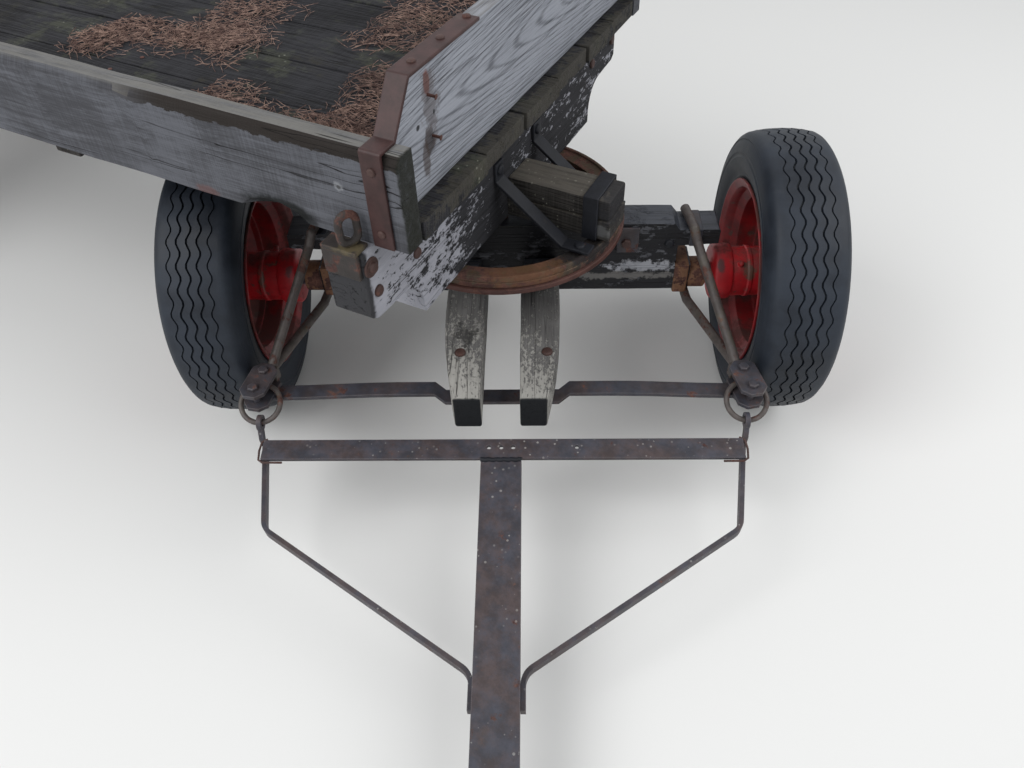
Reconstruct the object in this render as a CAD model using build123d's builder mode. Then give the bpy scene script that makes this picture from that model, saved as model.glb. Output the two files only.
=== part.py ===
"""Four-wheeled farm hay wagon with a flat plank bed, a turntable front carriage and an iron drawbar.

Millimetres, +Z up. The wagon stands on the plane Z = 0. The bed lies along +X, its front towards +X, and the
front carriage is parked turned to the right with the drawbar's eye resting on the ground. The origin is on the
ground, in the middle of the box around the parked wagon.
"""
from build123d import *
from math import asin, atan2, cos, degrees, radians, sin
import os

os.makedirs("parts", exist_ok=True)

# Wagon
WHEELBASE = 2300
TRACK = 1306
STEER_AT_REST = -64.0  # degrees, to the right of straight ahead
DECK_FRONT = 118  # from the kingpin
DECK_REAR_OVERHANG = 600  # behind the rear axle
FLAT_GAP = 0.3  # between turning faces
PIN_CLEARANCE = 0.05  # radial, of a pin that turns in its bore

# Wheels
TYRE_RADIUS = 335
TYRE_SHOULDER_RADIUS = 328
TYRE_WIDTH = 180
CARCASS = 13
RIM_FLANGE_RADIUS = 222
RIM_SEAT_RADIUS = 202
RIM_WELL_RADIUS = 184
RIM_WIDTH = 160
RIM_STEEL = 4
DISC_STEEL = 6
DISC_SEAT_RADIUS = 88
HUB_LENGTH_INSIDE = 148  # from the tyre's middle towards the wagon
HUB_DRUM_RADIUS = 68
HUB_NECK_RADIUS = 61
HUB_DRUM_LENGTH = 46
HUB_FLANGE_AT = 44
HUB_CAP_RADIUS = 34
HUB_CAP_LENGTH = 104  # from the tyre's middle, outwards
AXLE_RADIUS = 22

# Axle timbers, seen along the wagon
TREE_DEPTH = 76
TREE_BOTTOM = 306
TREE_TOP = 385
TREE_LENGTH = 900
BEAM_TOP = 505
BEAM_LENGTH = 824  # its thick part
BEAM_CHAMFER = 14
BEAM_TIP_LENGTH = 93  # of the thin tip at each end
BEAM_TIP_TOP = 487
BEAM_TIP_HEIGHT = 45

# Turntable
RING_RADIUS = 283
RING_WIDTH = 48
RING_STEP = 6  # how far the lower ring stands out under the upper one
LOWER_RING_STEEL = 14
UPPER_RING_HEIGHT = 30
KINGPIN_RADIUS = 14
KINGPIN_PLATE_RADIUS = 45
KINGPIN_PLATE_STEEL = 8
BRACE_WIDTH = 34
BRACE_STEEL = 7
BRACE_Y = 90
BRACE_TOP_Z = 712
BRACE_FOOT = (RING_RADIUS - 87, RING_RADIUS - 21)
RING_STRAP_WIDTH = 34
RING_STRAP_STEEL = 6
RING_STRAP_X = RING_RADIUS - 61

# Bed
BOLSTER_DEPTH = 84
BOLSTER_HEIGHT = 250
BOLSTER_LENGTH = 1124
BOLSTER_COVE_AT = 403  # where the flat underside ends
BOLSTER_COVE_LENGTH = 72
BOLSTER_END_LIFT = 101
RING_TIMBER_WIDTH = 92
RING_TIMBER_HEIGHT = 50  # of each of its two layers
RING_TIMBER_HALF = RING_RADIUS
SILL_WIDTH = 80
SILL_HEIGHT = 96
SILL_Y = 235
SILL_HOUSING = 30  # how far a sill is let into a bolster
PLANK_COUNT = 6
PLANK_GAP = 4
PLANK_THICKNESS = 38
SIDE_BEAM_OUTSIDE = 524  # half the bed's width
SIDE_BEAM_THICKNESS = 40
SIDE_BEAM_HEIGHT = 176
WEAR_AT = -165  # middle of the hollow that the front wheel wore under the right beam
WEAR_HALF_LENGTH = 74
WEAR_HEIGHT = 28
WEAR_DEPTH = 30
BOARD_THICKNESS = 36
BOARD_HEIGHT = 217
BOARD_SETBACK = 38  # from the deck's end to the board's outer face
BOARD_SLOPE_RUN = 57  # of each sloped end, along the board
STRAP_WIDTH = 40
STRAP_STEEL = 6
STRAP_SHIFT = 4  # from the board's middle outwards
STRAP_REACH = 222  # along the board's top
BEARER_COUNT = 2
BEARER_DEPTH = 70
BEARER_HEIGHT = 64
BEARER_LENGTH = 940

# Stake loops on the bolsters' ends
LOOP_BAR = (14, 15)  # seen from the front, along the wagon
LOOP_INSIDE = (18, 42)
LOOP_AHEAD = 8  # from the bolster's middle to the loop
LOOP_PLATE_STEEL = 8
LOOP_PLATE_DROP = 50

# Front carriage
HOUND_INSIDE = 42
HOUND_ROOT_WIDTH = 92
HOUND_TIP_WIDTH = 58
HOUND_BOTTOM = 262
HOUND_HEIGHT = 88
HOUND_FRONT = 438
HOUND_REAR = -285
HOUND_BLOCK_FOOT = 72  # ahead of the axle
HOUND_BLOCK_REACH = RING_RADIUS - 31
HOUND_BLOCK_BACK = 60  # how high it leans on the beam
HOUND_BLOCK_WIDTH = 76
HOUND_BLOCK_INSET = 8
SPLINTER_WIDTH = 46
SPLINTER_STEEL = 10
SPLINTER_X = 345
CLEVIS_X = 352
CLEVIS_Y = 540
CLEVIS_Z = 302
CLEVIS_LENGTH = 104
CLEVIS_WIDTH = 58
CLEVIS_TURN = 12  # front ends outwards
CLEVIS_STEEL = 9
CLEVIS_GAP = 30
CLEVIS_CHAMFER = 16
CLEVIS_BOLT_SPACING = 54
CLEVIS_BOLT_RADIUS = 8
BOLT_HEAD_RADIUS = 14
BOLT_HEAD_HEIGHT = 10
LINK_RADIUS = 44
LINK_ROD_RADIUS = 6
LINK_TILT = 30
LINK_REAR_X = 342
LINK_REAR_Z = 301
ROD_RADIUS = 11

# Drawbar
CROSSBAR_HALF = 527
CROSSBAR_WIDTH = 50
CROSSBAR_STEEL = 9
CROSSBAR_AHEAD = 59  # its middle ahead of the link pivot
CROSSBAR_BELOW = 18  # its top below the link pivot
CROSSBAR_HOLE_RADIUS = 5
CROSSBAR_HOLES = (26, 0, -27, -160)
TONGUE_WIDTH = 88
TONGUE_DEPTH = 40
TONGUE_STEEL = 6
TONGUE_LENGTH = 1684
EYE_RADIUS = 46
EYE_HOLE_RADIUS = 22
EYE_STEEL = 22
EYE_SHANK = 150
SIDE_IRON_WIDTH = 10
SIDE_IRON_HEIGHT = 24
HOOK_Y = 537
HOOK_CLEARANCE = 3
HOOK_THICKNESS = 9
SIDE_IRON_BEND = (232, 500)  # ahead of the pivot, from the middle
SIDE_IRON_JOIN = 532
SIDE_IRON_END = 600

# Levels and places that follow
WHEEL_Y = TRACK / 2
AXLE_Z = TYRE_RADIUS
LOWER_RING_Z = BEAM_TOP
UPPER_RING_Z = LOWER_RING_Z + LOWER_RING_STEEL + FLAT_GAP
BOLSTER_Z = UPPER_RING_Z + UPPER_RING_HEIGHT
DECK_Z = BOLSTER_Z + BOLSTER_HEIGHT
DECK_TOP = DECK_Z + PLANK_THICKNESS
DECK_REAR = -(WHEELBASE + DECK_REAR_OVERHANG)
DECK_LENGTH = DECK_FRONT - DECK_REAR
DECK_MIDDLE = (DECK_FRONT + DECK_REAR) / 2
SIDE_BEAM_INSIDE = SIDE_BEAM_OUTSIDE - SIDE_BEAM_THICKNESS
SIDE_BEAM_TOP = DECK_Z + SIDE_BEAM_HEIGHT
BOARD_CORNER_Y = SIDE_BEAM_INSIDE - BOARD_SLOPE_RUN
BOARD_TOP = DECK_TOP + BOARD_HEIGHT
LINK_CENTRE_X = LINK_REAR_X + LINK_RADIUS * cos(radians(LINK_TILT))
LINK_CENTRE_Z = LINK_REAR_Z - LINK_RADIUS * sin(radians(LINK_TILT))
PIVOT_X = 2 * LINK_CENTRE_X - LINK_REAR_X
PIVOT_Z = 2 * LINK_CENTRE_Z - LINK_REAR_Z
TIP_X = TONGUE_LENGTH + EYE_SHANK + EYE_RADIUS
EYE_BOTTOM = CROSSBAR_BELOW + TONGUE_STEEL + EYE_STEEL
DRAWBAR_DIP = degrees(asin(PIVOT_Z / (TIP_X**2 + EYE_BOTTOM**2) ** 0.5) - atan2(EYE_BOTTOM, TIP_X))

# The kingpin's place in the wagon's own frame
TIP_REACH = PIVOT_X + TIP_X * cos(radians(DRAWBAR_DIP))
FRONT_END = TIP_REACH * cos(radians(STEER_AT_REST)) + EYE_RADIUS * (1 - cos(radians(STEER_AT_REST)))
RIGHT_END = TIP_REACH * sin(radians(STEER_AT_REST)) - EYE_RADIUS * (1 + sin(radians(STEER_AT_REST)))
LEFT_END = WHEEL_Y + HUB_CAP_LENGTH
KINGPIN_X = -(DECK_REAR + FRONT_END) / 2
KINGPIN_Y = -(LEFT_END + RIGHT_END) / 2


def turned(turn):
    """A body's frame: on the ground under the kingpin, X along the body, turned about the kingpin."""
    heading = (cos(radians(turn)), sin(radians(turn)), 0)
    return Plane(origin=(KINGPIN_X, KINGPIN_Y, 0), x_dir=heading, z_dir=(0, 0, 1))


def above(frame, x=0, y=0, z=0):
    """A sketch plane seen from above: its X runs forwards, its Y to the left."""
    return Plane(origin=frame.from_local_coords(Vector(x, y, z)), x_dir=frame.x_dir, z_dir=frame.z_dir)


def beside(frame, x=0, y=0, z=0):
    """A sketch plane seen from the right: its X runs forwards, its Y up."""
    return Plane(origin=frame.from_local_coords(Vector(x, y, z)), x_dir=frame.x_dir, z_dir=-frame.y_dir)


def ahead(frame, x=0, y=0, z=0):
    """A sketch plane seen from the front: its X runs to the left, its Y up."""
    return Plane(origin=frame.from_local_coords(Vector(x, y, z)), x_dir=frame.y_dir, z_dir=frame.x_dir)


BED = turned(0)
CARRIAGE = turned(STEER_AT_REST)
LINK_PIVOT = CARRIAGE.from_local_coords(Vector(PIVOT_X, 0, PIVOT_Z))
DRAWBAR_X = CARRIAGE.x_dir * cos(radians(DRAWBAR_DIP)) - CARRIAGE.z_dir * sin(radians(DRAWBAR_DIP))
DRAWBAR_Z = CARRIAGE.x_dir * sin(radians(DRAWBAR_DIP)) + CARRIAGE.z_dir * cos(radians(DRAWBAR_DIP))
DRAWBAR = Plane(origin=LINK_PIVOT, x_dir=DRAWBAR_X, z_dir=DRAWBAR_Z)


def keep(piece, name):
    """Name a finished piece and write it."""
    piece.part.label = name
    export_step(piece.part, f"parts/{name}.step")


# Wheels: each profile's points are (outwards from the tyre's middle, from the axle's centre)
def wheel(frame, axle_x, hand, name):
    """One wheel with its tyre and hub; hand is 1 on the left and -1 on the right."""
    centre = ahead(frame, axle_x, hand * WHEEL_Y, AXLE_Z)
    spindle = Axis(centre.origin, centre.x_dir)
    half = TYRE_WIDTH / 2
    seat = RIM_SEAT_RADIUS
    lip = RIM_WIDTH / 2
    drum_end = -HUB_LENGTH_INSIDE + HUB_DRUM_LENGTH

    def at(out, radius):
        return (hand * out, radius)

    def bead(out):
        return seat + 4 * (out - 40) / (lip - 46)

    with BuildPart() as tyre:
        with BuildSketch(centre):
            with BuildLine():
                Line(at(-72, bead(72)), at(-75, 225))
                ThreePointArc(at(-75, 225), at(-half, 268), at(-half + 11, 313))
                ThreePointArc(at(-half + 11, 313), at(-half + 16, 323), at(-half + 25, TYRE_SHOULDER_RADIUS))
                ThreePointArc(at(-half + 25, TYRE_SHOULDER_RADIUS), at(0, TYRE_RADIUS),
                              at(half - 25, TYRE_SHOULDER_RADIUS))
                ThreePointArc(at(half - 25, TYRE_SHOULDER_RADIUS), at(half - 16, 323), at(half - 11, 313))
                ThreePointArc(at(half - 11, 313), at(half, 268), at(75, 225))
                Line(at(75, 225), at(72, bead(72)))
                Line(at(72, bead(72)), at(56, bead(56)))
                Polyline(at(56, bead(56)), at(half - CARCASS, 264), at(56, 315), at(-56, 315),
                         at(-half + CARCASS, 264), at(-56, bead(56)), at(-72, bead(72)))
            make_face()
        revolve(axis=spindle)
    keep(tyre, f"{name}_tyre")

    with BuildPart() as rim:
        with BuildSketch(centre):
            with BuildLine():
                Polyline(
                    at(-lip - 4, RIM_FLANGE_RADIUS), at(-lip + 3, RIM_FLANGE_RADIUS), at(-lip + 6, seat + 4),
                    at(-52, seat), at(-38, RIM_WELL_RADIUS), at(26, RIM_WELL_RADIUS), at(40, seat),
                    at(lip - 6, seat + 4), at(lip - 3, RIM_FLANGE_RADIUS), at(lip + 4, RIM_FLANGE_RADIUS),
                    at(lip + 4, RIM_FLANGE_RADIUS - RIM_STEEL), at(lip - 2, seat), at(42, seat - RIM_STEEL),
                    at(29, RIM_WELL_RADIUS - RIM_STEEL), at(-41, RIM_WELL_RADIUS - RIM_STEEL),
                    at(-54, seat - RIM_STEEL), at(-lip + 2, seat), at(-lip - 4, RIM_FLANGE_RADIUS - RIM_STEEL),
                    close=True,
                )
            make_face()
        revolve(axis=spindle)
        with BuildSketch(centre):
            with BuildLine():
                Polyline(
                    at(2, RIM_WELL_RADIUS - RIM_STEEL), at(26, RIM_WELL_RADIUS - RIM_STEEL), at(62, 118),
                    at(HUB_FLANGE_AT + DISC_STEEL, DISC_SEAT_RADIUS),
                    at(HUB_FLANGE_AT + DISC_STEEL, HUB_NECK_RADIUS - 14), at(HUB_FLANGE_AT, HUB_NECK_RADIUS - 14),
                    at(HUB_FLANGE_AT, DISC_SEAT_RADIUS + 2), at(54, 116), at(20, 172), at(2, 174), close=True,
                )
            make_face()
        revolve(axis=spindle)
    keep(rim, f"{name}_rim")

    with BuildPart() as hub:
        with BuildSketch(centre):
            with BuildLine():
                Polyline(
                    at(-HUB_LENGTH_INSIDE, AXLE_RADIUS + PIN_CLEARANCE),
                    at(-HUB_LENGTH_INSIDE, HUB_DRUM_RADIUS - 6),
                    at(-HUB_LENGTH_INSIDE + 6, HUB_DRUM_RADIUS), at(drum_end, HUB_DRUM_RADIUS),
                    at(drum_end, HUB_NECK_RADIUS), at(HUB_FLANGE_AT - 8, HUB_NECK_RADIUS),
                    at(HUB_FLANGE_AT - 8, DISC_SEAT_RADIUS - 3), at(HUB_FLANGE_AT, DISC_SEAT_RADIUS - 3),
                    at(HUB_FLANGE_AT, HUB_NECK_RADIUS - 14), at(HUB_FLANGE_AT + 20, HUB_CAP_RADIUS),
                    at(HUB_CAP_LENGTH - 8, HUB_CAP_RADIUS), at(HUB_CAP_LENGTH, HUB_CAP_RADIUS - 10),
                    at(HUB_CAP_LENGTH, 0), at(HUB_CAP_LENGTH - 14, 0),
                    at(HUB_CAP_LENGTH - 14, AXLE_RADIUS + PIN_CLEARANCE), close=True,
                )
            make_face()
        revolve(axis=spindle)
    keep(hub, f"{name}_hub")


WHEELS = [  # name, frame, axle's place along it, hand
    ("front_left", CARRIAGE, 0, 1),
    ("front_right", CARRIAGE, 0, -1),
    ("rear_left", BED, -WHEELBASE, 1),
    ("rear_right", BED, -WHEELBASE, -1),
]
for wheel_name, wheel_frame, wheel_x, wheel_hand in WHEELS:
    wheel(wheel_frame, wheel_x, wheel_hand, wheel_name)


# Axles: a round iron bar through a timber tree, with a beam on top
AXLE_END = WHEEL_Y + HUB_CAP_LENGTH - 20


def axle(frame, x, name):
    """A round bar and the timber tree that it runs through."""
    with BuildPart() as bar:
        with BuildSketch(beside(frame, x, 0, AXLE_Z)):
            Circle(AXLE_RADIUS)
        extrude(amount=AXLE_END, both=True)
    keep(bar, f"{name}_axle")

    with BuildPart() as tree:
        with BuildSketch(ahead(frame, x, 0, TREE_BOTTOM)):
            Rectangle(TREE_LENGTH, TREE_TOP - TREE_BOTTOM, align=(Align.CENTER, Align.MIN))
        extrude(amount=TREE_DEPTH / 2, both=True)
        with BuildSketch(beside(frame, x, 0, AXLE_Z)):
            Circle(AXLE_RADIUS)
        extrude(amount=TREE_LENGTH, both=True, mode=Mode.SUBTRACT)
        long_edges = tree.edges().filter_by(Axis(tree.part.center(), frame.y_dir)).sort_by(Axis.Z)
        chamfer(long_edges[:2], 8)
    keep(tree, f"{name}_axle_tree")


axle(CARRIAGE, 0, "front")
axle(BED, -WHEELBASE, "rear")

with BuildPart() as front_axle_beam:
    with BuildSketch(ahead(CARRIAGE)):
        with BuildLine():
            half_beam = BEAM_LENGTH / 2
            tip = half_beam + BEAM_TIP_LENGTH
            tip_bottom = BEAM_TIP_TOP - BEAM_TIP_HEIGHT
            Polyline(
                (0, TREE_TOP), (half_beam - BEAM_CHAMFER, TREE_TOP), (half_beam, TREE_TOP + BEAM_CHAMFER),
                (half_beam, tip_bottom), (tip, tip_bottom + 6), (tip, BEAM_TIP_TOP - 4),
                (tip - 4, BEAM_TIP_TOP), (half_beam, BEAM_TIP_TOP), (half_beam - BEAM_CHAMFER, BEAM_TOP),
                (0, BEAM_TOP), close=True,
            )
        make_face()
        mirror(about=Plane.YZ)
    extrude(amount=TREE_DEPTH / 2, both=True)
    with BuildSketch(above(CARRIAGE, 0, 0, TREE_TOP)):
        Circle(KINGPIN_RADIUS + PIN_CLEARANCE)
    extrude(amount=BEAM_TOP - TREE_TOP, mode=Mode.SUBTRACT)
keep(front_axle_beam, "front_axle_beam")

with BuildPart() as rear_axle_beam:
    with BuildSketch(ahead(BED, -WHEELBASE, 0, TREE_TOP)):
        Rectangle(TREE_LENGTH, BOLSTER_Z - TREE_TOP, align=(Align.CENTER, Align.MIN))
    extrude(amount=TREE_DEPTH / 2, both=True)
keep(rear_axle_beam, "rear_axle_beam")


# Turntable: the lower ring turns with the carriage, the upper ring and the kingpin stay with the bed
with BuildPart() as lower_ring:
    with BuildSketch(above(CARRIAGE, 0, 0, LOWER_RING_Z)):
        Circle(RING_RADIUS)
        Circle(RING_RADIUS - RING_WIDTH - 4, mode=Mode.SUBTRACT)
    extrude(amount=LOWER_RING_STEEL)
keep(lower_ring, "lower_ring")

with BuildPart() as upper_ring:
    with BuildSketch(above(BED, 0, 0, UPPER_RING_Z)):
        Circle(RING_RADIUS - RING_STEP)
        Circle(RING_RADIUS - RING_WIDTH, mode=Mode.SUBTRACT)
    extrude(amount=UPPER_RING_HEIGHT)
keep(upper_ring, "upper_ring")

with BuildPart() as kingpin:
    with BuildSketch(above(BED, 0, 0, BOLSTER_Z - KINGPIN_PLATE_STEEL)):
        Circle(KINGPIN_PLATE_RADIUS)
    extrude(amount=KINGPIN_PLATE_STEEL)
    with BuildSketch(above(BED, 0, 0, TREE_TOP + 10)):
        Circle(KINGPIN_RADIUS)
    extrude(amount=BOLSTER_Z - KINGPIN_PLATE_STEEL - TREE_TOP - 10)
keep(kingpin, "kingpin")


# Bed frame
def bolster(x, inwards, notched, name):
    """A cross-beam with coved ends and housings for the sills; inwards is the way along X to the other one."""
    half_length = BOLSTER_LENGTH / 2
    end_bottom = BOLSTER_Z + BOLSTER_END_LIFT
    cove_end = BOLSTER_COVE_AT + BOLSTER_COVE_LENGTH
    with BuildPart() as beam:
        with BuildSketch(ahead(BED, x)):
            with BuildLine():
                Polyline((0, DECK_Z), (0, BOLSTER_Z), (BOLSTER_COVE_AT, BOLSTER_Z),
                         (BOLSTER_COVE_AT + 2, BOLSTER_Z + 28))
                ThreePointArc((BOLSTER_COVE_AT + 2, BOLSTER_Z + 28),
                              (BOLSTER_COVE_AT + 0.3 * BOLSTER_COVE_LENGTH, end_bottom - 26),
                              (cove_end, end_bottom - 5))
                Polyline((cove_end, end_bottom - 5), (half_length - 14, end_bottom),
                         (half_length, end_bottom + 10), (half_length, DECK_Z), (0, DECK_Z))
            make_face()
            mirror(about=Plane.YZ)
            if notched:
                with Locations((0, BOLSTER_Z)):
                    Rectangle(RING_TIMBER_WIDTH, 2 * RING_TIMBER_HEIGHT, mode=Mode.SUBTRACT)
        extrude(amount=BOLSTER_DEPTH / 2, both=True)
        with BuildSketch(ahead(BED, x + inwards * (BOLSTER_DEPTH / 2 - SILL_HOUSING / 2), 0, DECK_Z)):
            with Locations((-SILL_Y, 0), (SILL_Y, 0)):
                Rectangle(SILL_WIDTH, 2 * SILL_HEIGHT)
        extrude(amount=SILL_HOUSING / 2, both=True, mode=Mode.SUBTRACT)
    keep(beam, name)


bolster(0, -1, True, "front_bolster")
bolster(-WHEELBASE, 1, False, "rear_bolster")

BEARER_SPACING = WHEELBASE / (BEARER_COUNT + 1)
LAP = BEARER_HEIGHT / 2  # where a bearer and a sill cross, each gives up half of the bearer's height
with BuildPart() as middle_bearers:
    with BuildSketch(above(BED, -WHEELBASE / 2, 0, DECK_Z - BEARER_HEIGHT)):
        with GridLocations(BEARER_SPACING, 0, BEARER_COUNT, 1):
            Rectangle(BEARER_DEPTH, BEARER_LENGTH)
    extrude(amount=BEARER_HEIGHT)
    with BuildSketch(above(BED, -WHEELBASE / 2, 0, DECK_Z - BEARER_HEIGHT)):
        with GridLocations(BEARER_SPACING, 2 * SILL_Y, BEARER_COUNT, 2):
            Rectangle(BEARER_DEPTH, SILL_WIDTH)
    extrude(amount=LAP, mode=Mode.SUBTRACT)
keep(middle_bearers, "middle_bearers")

SILL_LENGTH = WHEELBASE - BOLSTER_DEPTH + 2 * SILL_HOUSING
with BuildPart() as sills:
    with BuildSketch(above(BED, -WHEELBASE / 2, 0, DECK_Z - SILL_HEIGHT)):
        with GridLocations(0, 2 * SILL_Y, 1, 2):
            Rectangle(SILL_LENGTH, SILL_WIDTH)
    extrude(amount=SILL_HEIGHT)
    with BuildSketch(above(BED, -WHEELBASE / 2, 0, DECK_Z - LAP)):
        with GridLocations(BEARER_SPACING, 2 * SILL_Y, BEARER_COUNT, 2):
            Rectangle(BEARER_DEPTH, SILL_WIDTH)
    extrude(amount=LAP, mode=Mode.SUBTRACT)
keep(sills, "sills")

with BuildPart() as ring_timber:
    with BuildSketch(above(BED, 0, 0, BOLSTER_Z)):
        Rectangle(2 * RING_TIMBER_HALF, RING_TIMBER_WIDTH)
        chamfer(vertices(), 5)
    extrude(amount=2 * RING_TIMBER_HEIGHT)
    with BuildSketch(above(BED, 0, 0, BOLSTER_Z + RING_TIMBER_HEIGHT)):
        Rectangle(BOLSTER_DEPTH, RING_TIMBER_WIDTH)
    extrude(amount=RING_TIMBER_HEIGHT, mode=Mode.SUBTRACT)
keep(ring_timber, "ring_timber")

with BuildPart() as deck_planks:
    plank_width = (2 * SIDE_BEAM_INSIDE - (PLANK_COUNT - 1) * PLANK_GAP) / PLANK_COUNT
    with BuildSketch(above(BED, DECK_MIDDLE, 0, DECK_Z)):
        with GridLocations(0, plank_width + PLANK_GAP, 1, PLANK_COUNT):
            Rectangle(DECK_LENGTH, plank_width)
    extrude(amount=PLANK_THICKNESS)
keep(deck_planks, "deck_planks")


# Planks on edge along the bed. The front wheel wore a hollow in the right one's lower outer edge: a ball's cut,
# as long, high and deep as WEAR says.
wear_below = (WEAR_HALF_LENGTH**2 - WEAR_HEIGHT**2) / (2 * WEAR_HEIGHT)
wear_beside = (WEAR_HALF_LENGTH**2 - WEAR_DEPTH**2) / (2 * WEAR_DEPTH)
wear_radius = (WEAR_HALF_LENGTH**2 + wear_below**2 + wear_beside**2) ** 0.5
with BuildPart() as side_beams:
    for hand in (1, -1):
        with BuildSketch(beside(BED, DECK_MIDDLE, hand * SIDE_BEAM_INSIDE, DECK_Z)):
            Rectangle(DECK_LENGTH - 10, SIDE_BEAM_HEIGHT, align=(Align.CENTER, Align.MIN))
        extrude(amount=-hand * SIDE_BEAM_THICKNESS)
    with Locations(above(BED, WEAR_AT, -SIDE_BEAM_OUTSIDE - wear_beside, DECK_Z - wear_below)):
        Sphere(wear_radius, mode=Mode.SUBTRACT)
keep(side_beams, "side_beams")


def end_board(x, name):
    """A board across the bed whose ends slope in above the side beams; x is its face that looks towards -X."""
    slope_foot = SIDE_BEAM_TOP - DECK_TOP
    with BuildPart() as board:
        with BuildSketch(ahead(BED, x, 0, DECK_TOP)):
            with BuildLine():
                Polyline((-SIDE_BEAM_INSIDE, 0), (SIDE_BEAM_INSIDE, 0), (SIDE_BEAM_INSIDE, slope_foot),
                         (BOARD_CORNER_Y, BOARD_HEIGHT), (-BOARD_CORNER_Y, BOARD_HEIGHT),
                         (-SIDE_BEAM_INSIDE, slope_foot), close=True)
            make_face()
        extrude(amount=BOARD_THICKNESS)
    keep(board, name)


FRONT_BOARD_X = DECK_FRONT - BOARD_SETBACK - BOARD_THICKNESS
REAR_BOARD_X = DECK_REAR + BOARD_SETBACK
end_board(FRONT_BOARD_X, "front_board")
end_board(REAR_BOARD_X, "rear_board")


# Corner straps: flat irons up the side beams, over their tops, up the boards' sloped ends and along their tops
with BuildPart() as corner_straps:
    for board_x, outwards in ((FRONT_BOARD_X, 1), (REAR_BOARD_X, -1)):
        with BuildSketch(ahead(BED, board_x + (BOARD_THICKNESS - STRAP_WIDTH) / 2 + outwards * STRAP_SHIFT)):
            with BuildLine():
                inner = Polyline((SIDE_BEAM_OUTSIDE, DECK_Z + 2), (SIDE_BEAM_OUTSIDE, SIDE_BEAM_TOP),
                                 (SIDE_BEAM_INSIDE, SIDE_BEAM_TOP), (BOARD_CORNER_Y, BOARD_TOP),
                                 (BOARD_CORNER_Y - STRAP_REACH, BOARD_TOP))
                offset(inner, amount=-STRAP_STEEL, side=Side.RIGHT, closed=True)
            make_face()
            mirror(about=Plane.YZ)
        extrude(amount=STRAP_WIDTH)
keep(corner_straps, "corner_straps")


# Irons on the turntable
with BuildPart() as ring_braces:
    for hand in (1, -1):
        with BuildSketch(beside(BED, 0, hand * (BRACE_Y + BRACE_WIDTH / 2 * hand), 0)):
            with BuildLine():
                face = BOLSTER_DEPTH / 2
                foot_z = BOLSTER_Z
                Polyline((face, BRACE_TOP_Z), (face, BRACE_TOP_Z - 44), (BRACE_FOOT[0], foot_z),
                         (BRACE_FOOT[1], foot_z), (BRACE_FOOT[1], foot_z + BRACE_STEEL),
                         (BRACE_FOOT[0] + 4, foot_z + BRACE_STEEL), (face + BRACE_STEEL, BRACE_TOP_Z - 40),
                         (face + BRACE_STEEL, BRACE_TOP_Z), close=True)
            make_face()
        extrude(amount=BRACE_WIDTH)
keep(ring_braces, "ring_braces")

with BuildPart() as ring_strap:
    with BuildSketch(ahead(BED, RING_STRAP_X)):
        strap_top = BOLSTER_Z + 2 * RING_TIMBER_HEIGHT + RING_STRAP_STEEL
        outer = RING_TIMBER_WIDTH / 2 + RING_STRAP_STEEL
        Polygon((-outer, BOLSTER_Z), (-outer, strap_top), (outer, strap_top), (outer, BOLSTER_Z),
                (outer - RING_STRAP_STEEL, BOLSTER_Z), (outer - RING_STRAP_STEEL, strap_top - RING_STRAP_STEEL),
                (RING_STRAP_STEEL - outer, strap_top - RING_STRAP_STEEL), (RING_STRAP_STEEL - outer, BOLSTER_Z),
                align=None)
    extrude(amount=RING_STRAP_WIDTH)
keep(ring_strap, "ring_strap")


# Stake loops: an angle of plate on each bolster end with an upright slotted loop on it
BOLSTER_END = BOLSTER_LENGTH / 2
LOOP_PLATE_INSIDE = SIDE_BEAM_OUTSIDE + STRAP_STEEL + 3
LOOP_Y = BOLSTER_END - LOOP_INSIDE[0] / 2 - 2
LOOP_MIDDLE_Z = DECK_Z + LOOP_PLATE_STEEL + LOOP_BAR[0] + LOOP_INSIDE[1] / 2 - 2
with BuildPart() as stake_loops:
    for bolster_x in (0, -WHEELBASE):
        for hand in (1, -1):
            with BuildSketch(ahead(BED, bolster_x)):
                plate_y = (LOOP_PLATE_INSIDE + BOLSTER_END + LOOP_PLATE_STEEL) / 2
                with Locations((hand * plate_y, DECK_Z + LOOP_PLATE_STEEL / 2)):
                    Rectangle(BOLSTER_END + LOOP_PLATE_STEEL - LOOP_PLATE_INSIDE, LOOP_PLATE_STEEL)
                with Locations((hand * (BOLSTER_END + LOOP_PLATE_STEEL / 2), DECK_Z - LOOP_PLATE_DROP / 2)):
                    Rectangle(LOOP_PLATE_STEEL, LOOP_PLATE_DROP)
            extrude(amount=BOLSTER_DEPTH / 2 - 6, both=True)
            with BuildSketch(ahead(BED, bolster_x + LOOP_AHEAD)):
                slot_run = LOOP_INSIDE[1] - LOOP_INSIDE[0]
                with Locations((hand * LOOP_Y, LOOP_MIDDLE_Z)):
                    SlotCenterToCenter(slot_run, LOOP_INSIDE[0] + 2 * LOOP_BAR[0], rotation=90)
                    SlotCenterToCenter(slot_run, LOOP_INSIDE[0], rotation=90, mode=Mode.SUBTRACT)
            extrude(amount=LOOP_BAR[1])
keep(stake_loops, "stake_loops")


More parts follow.
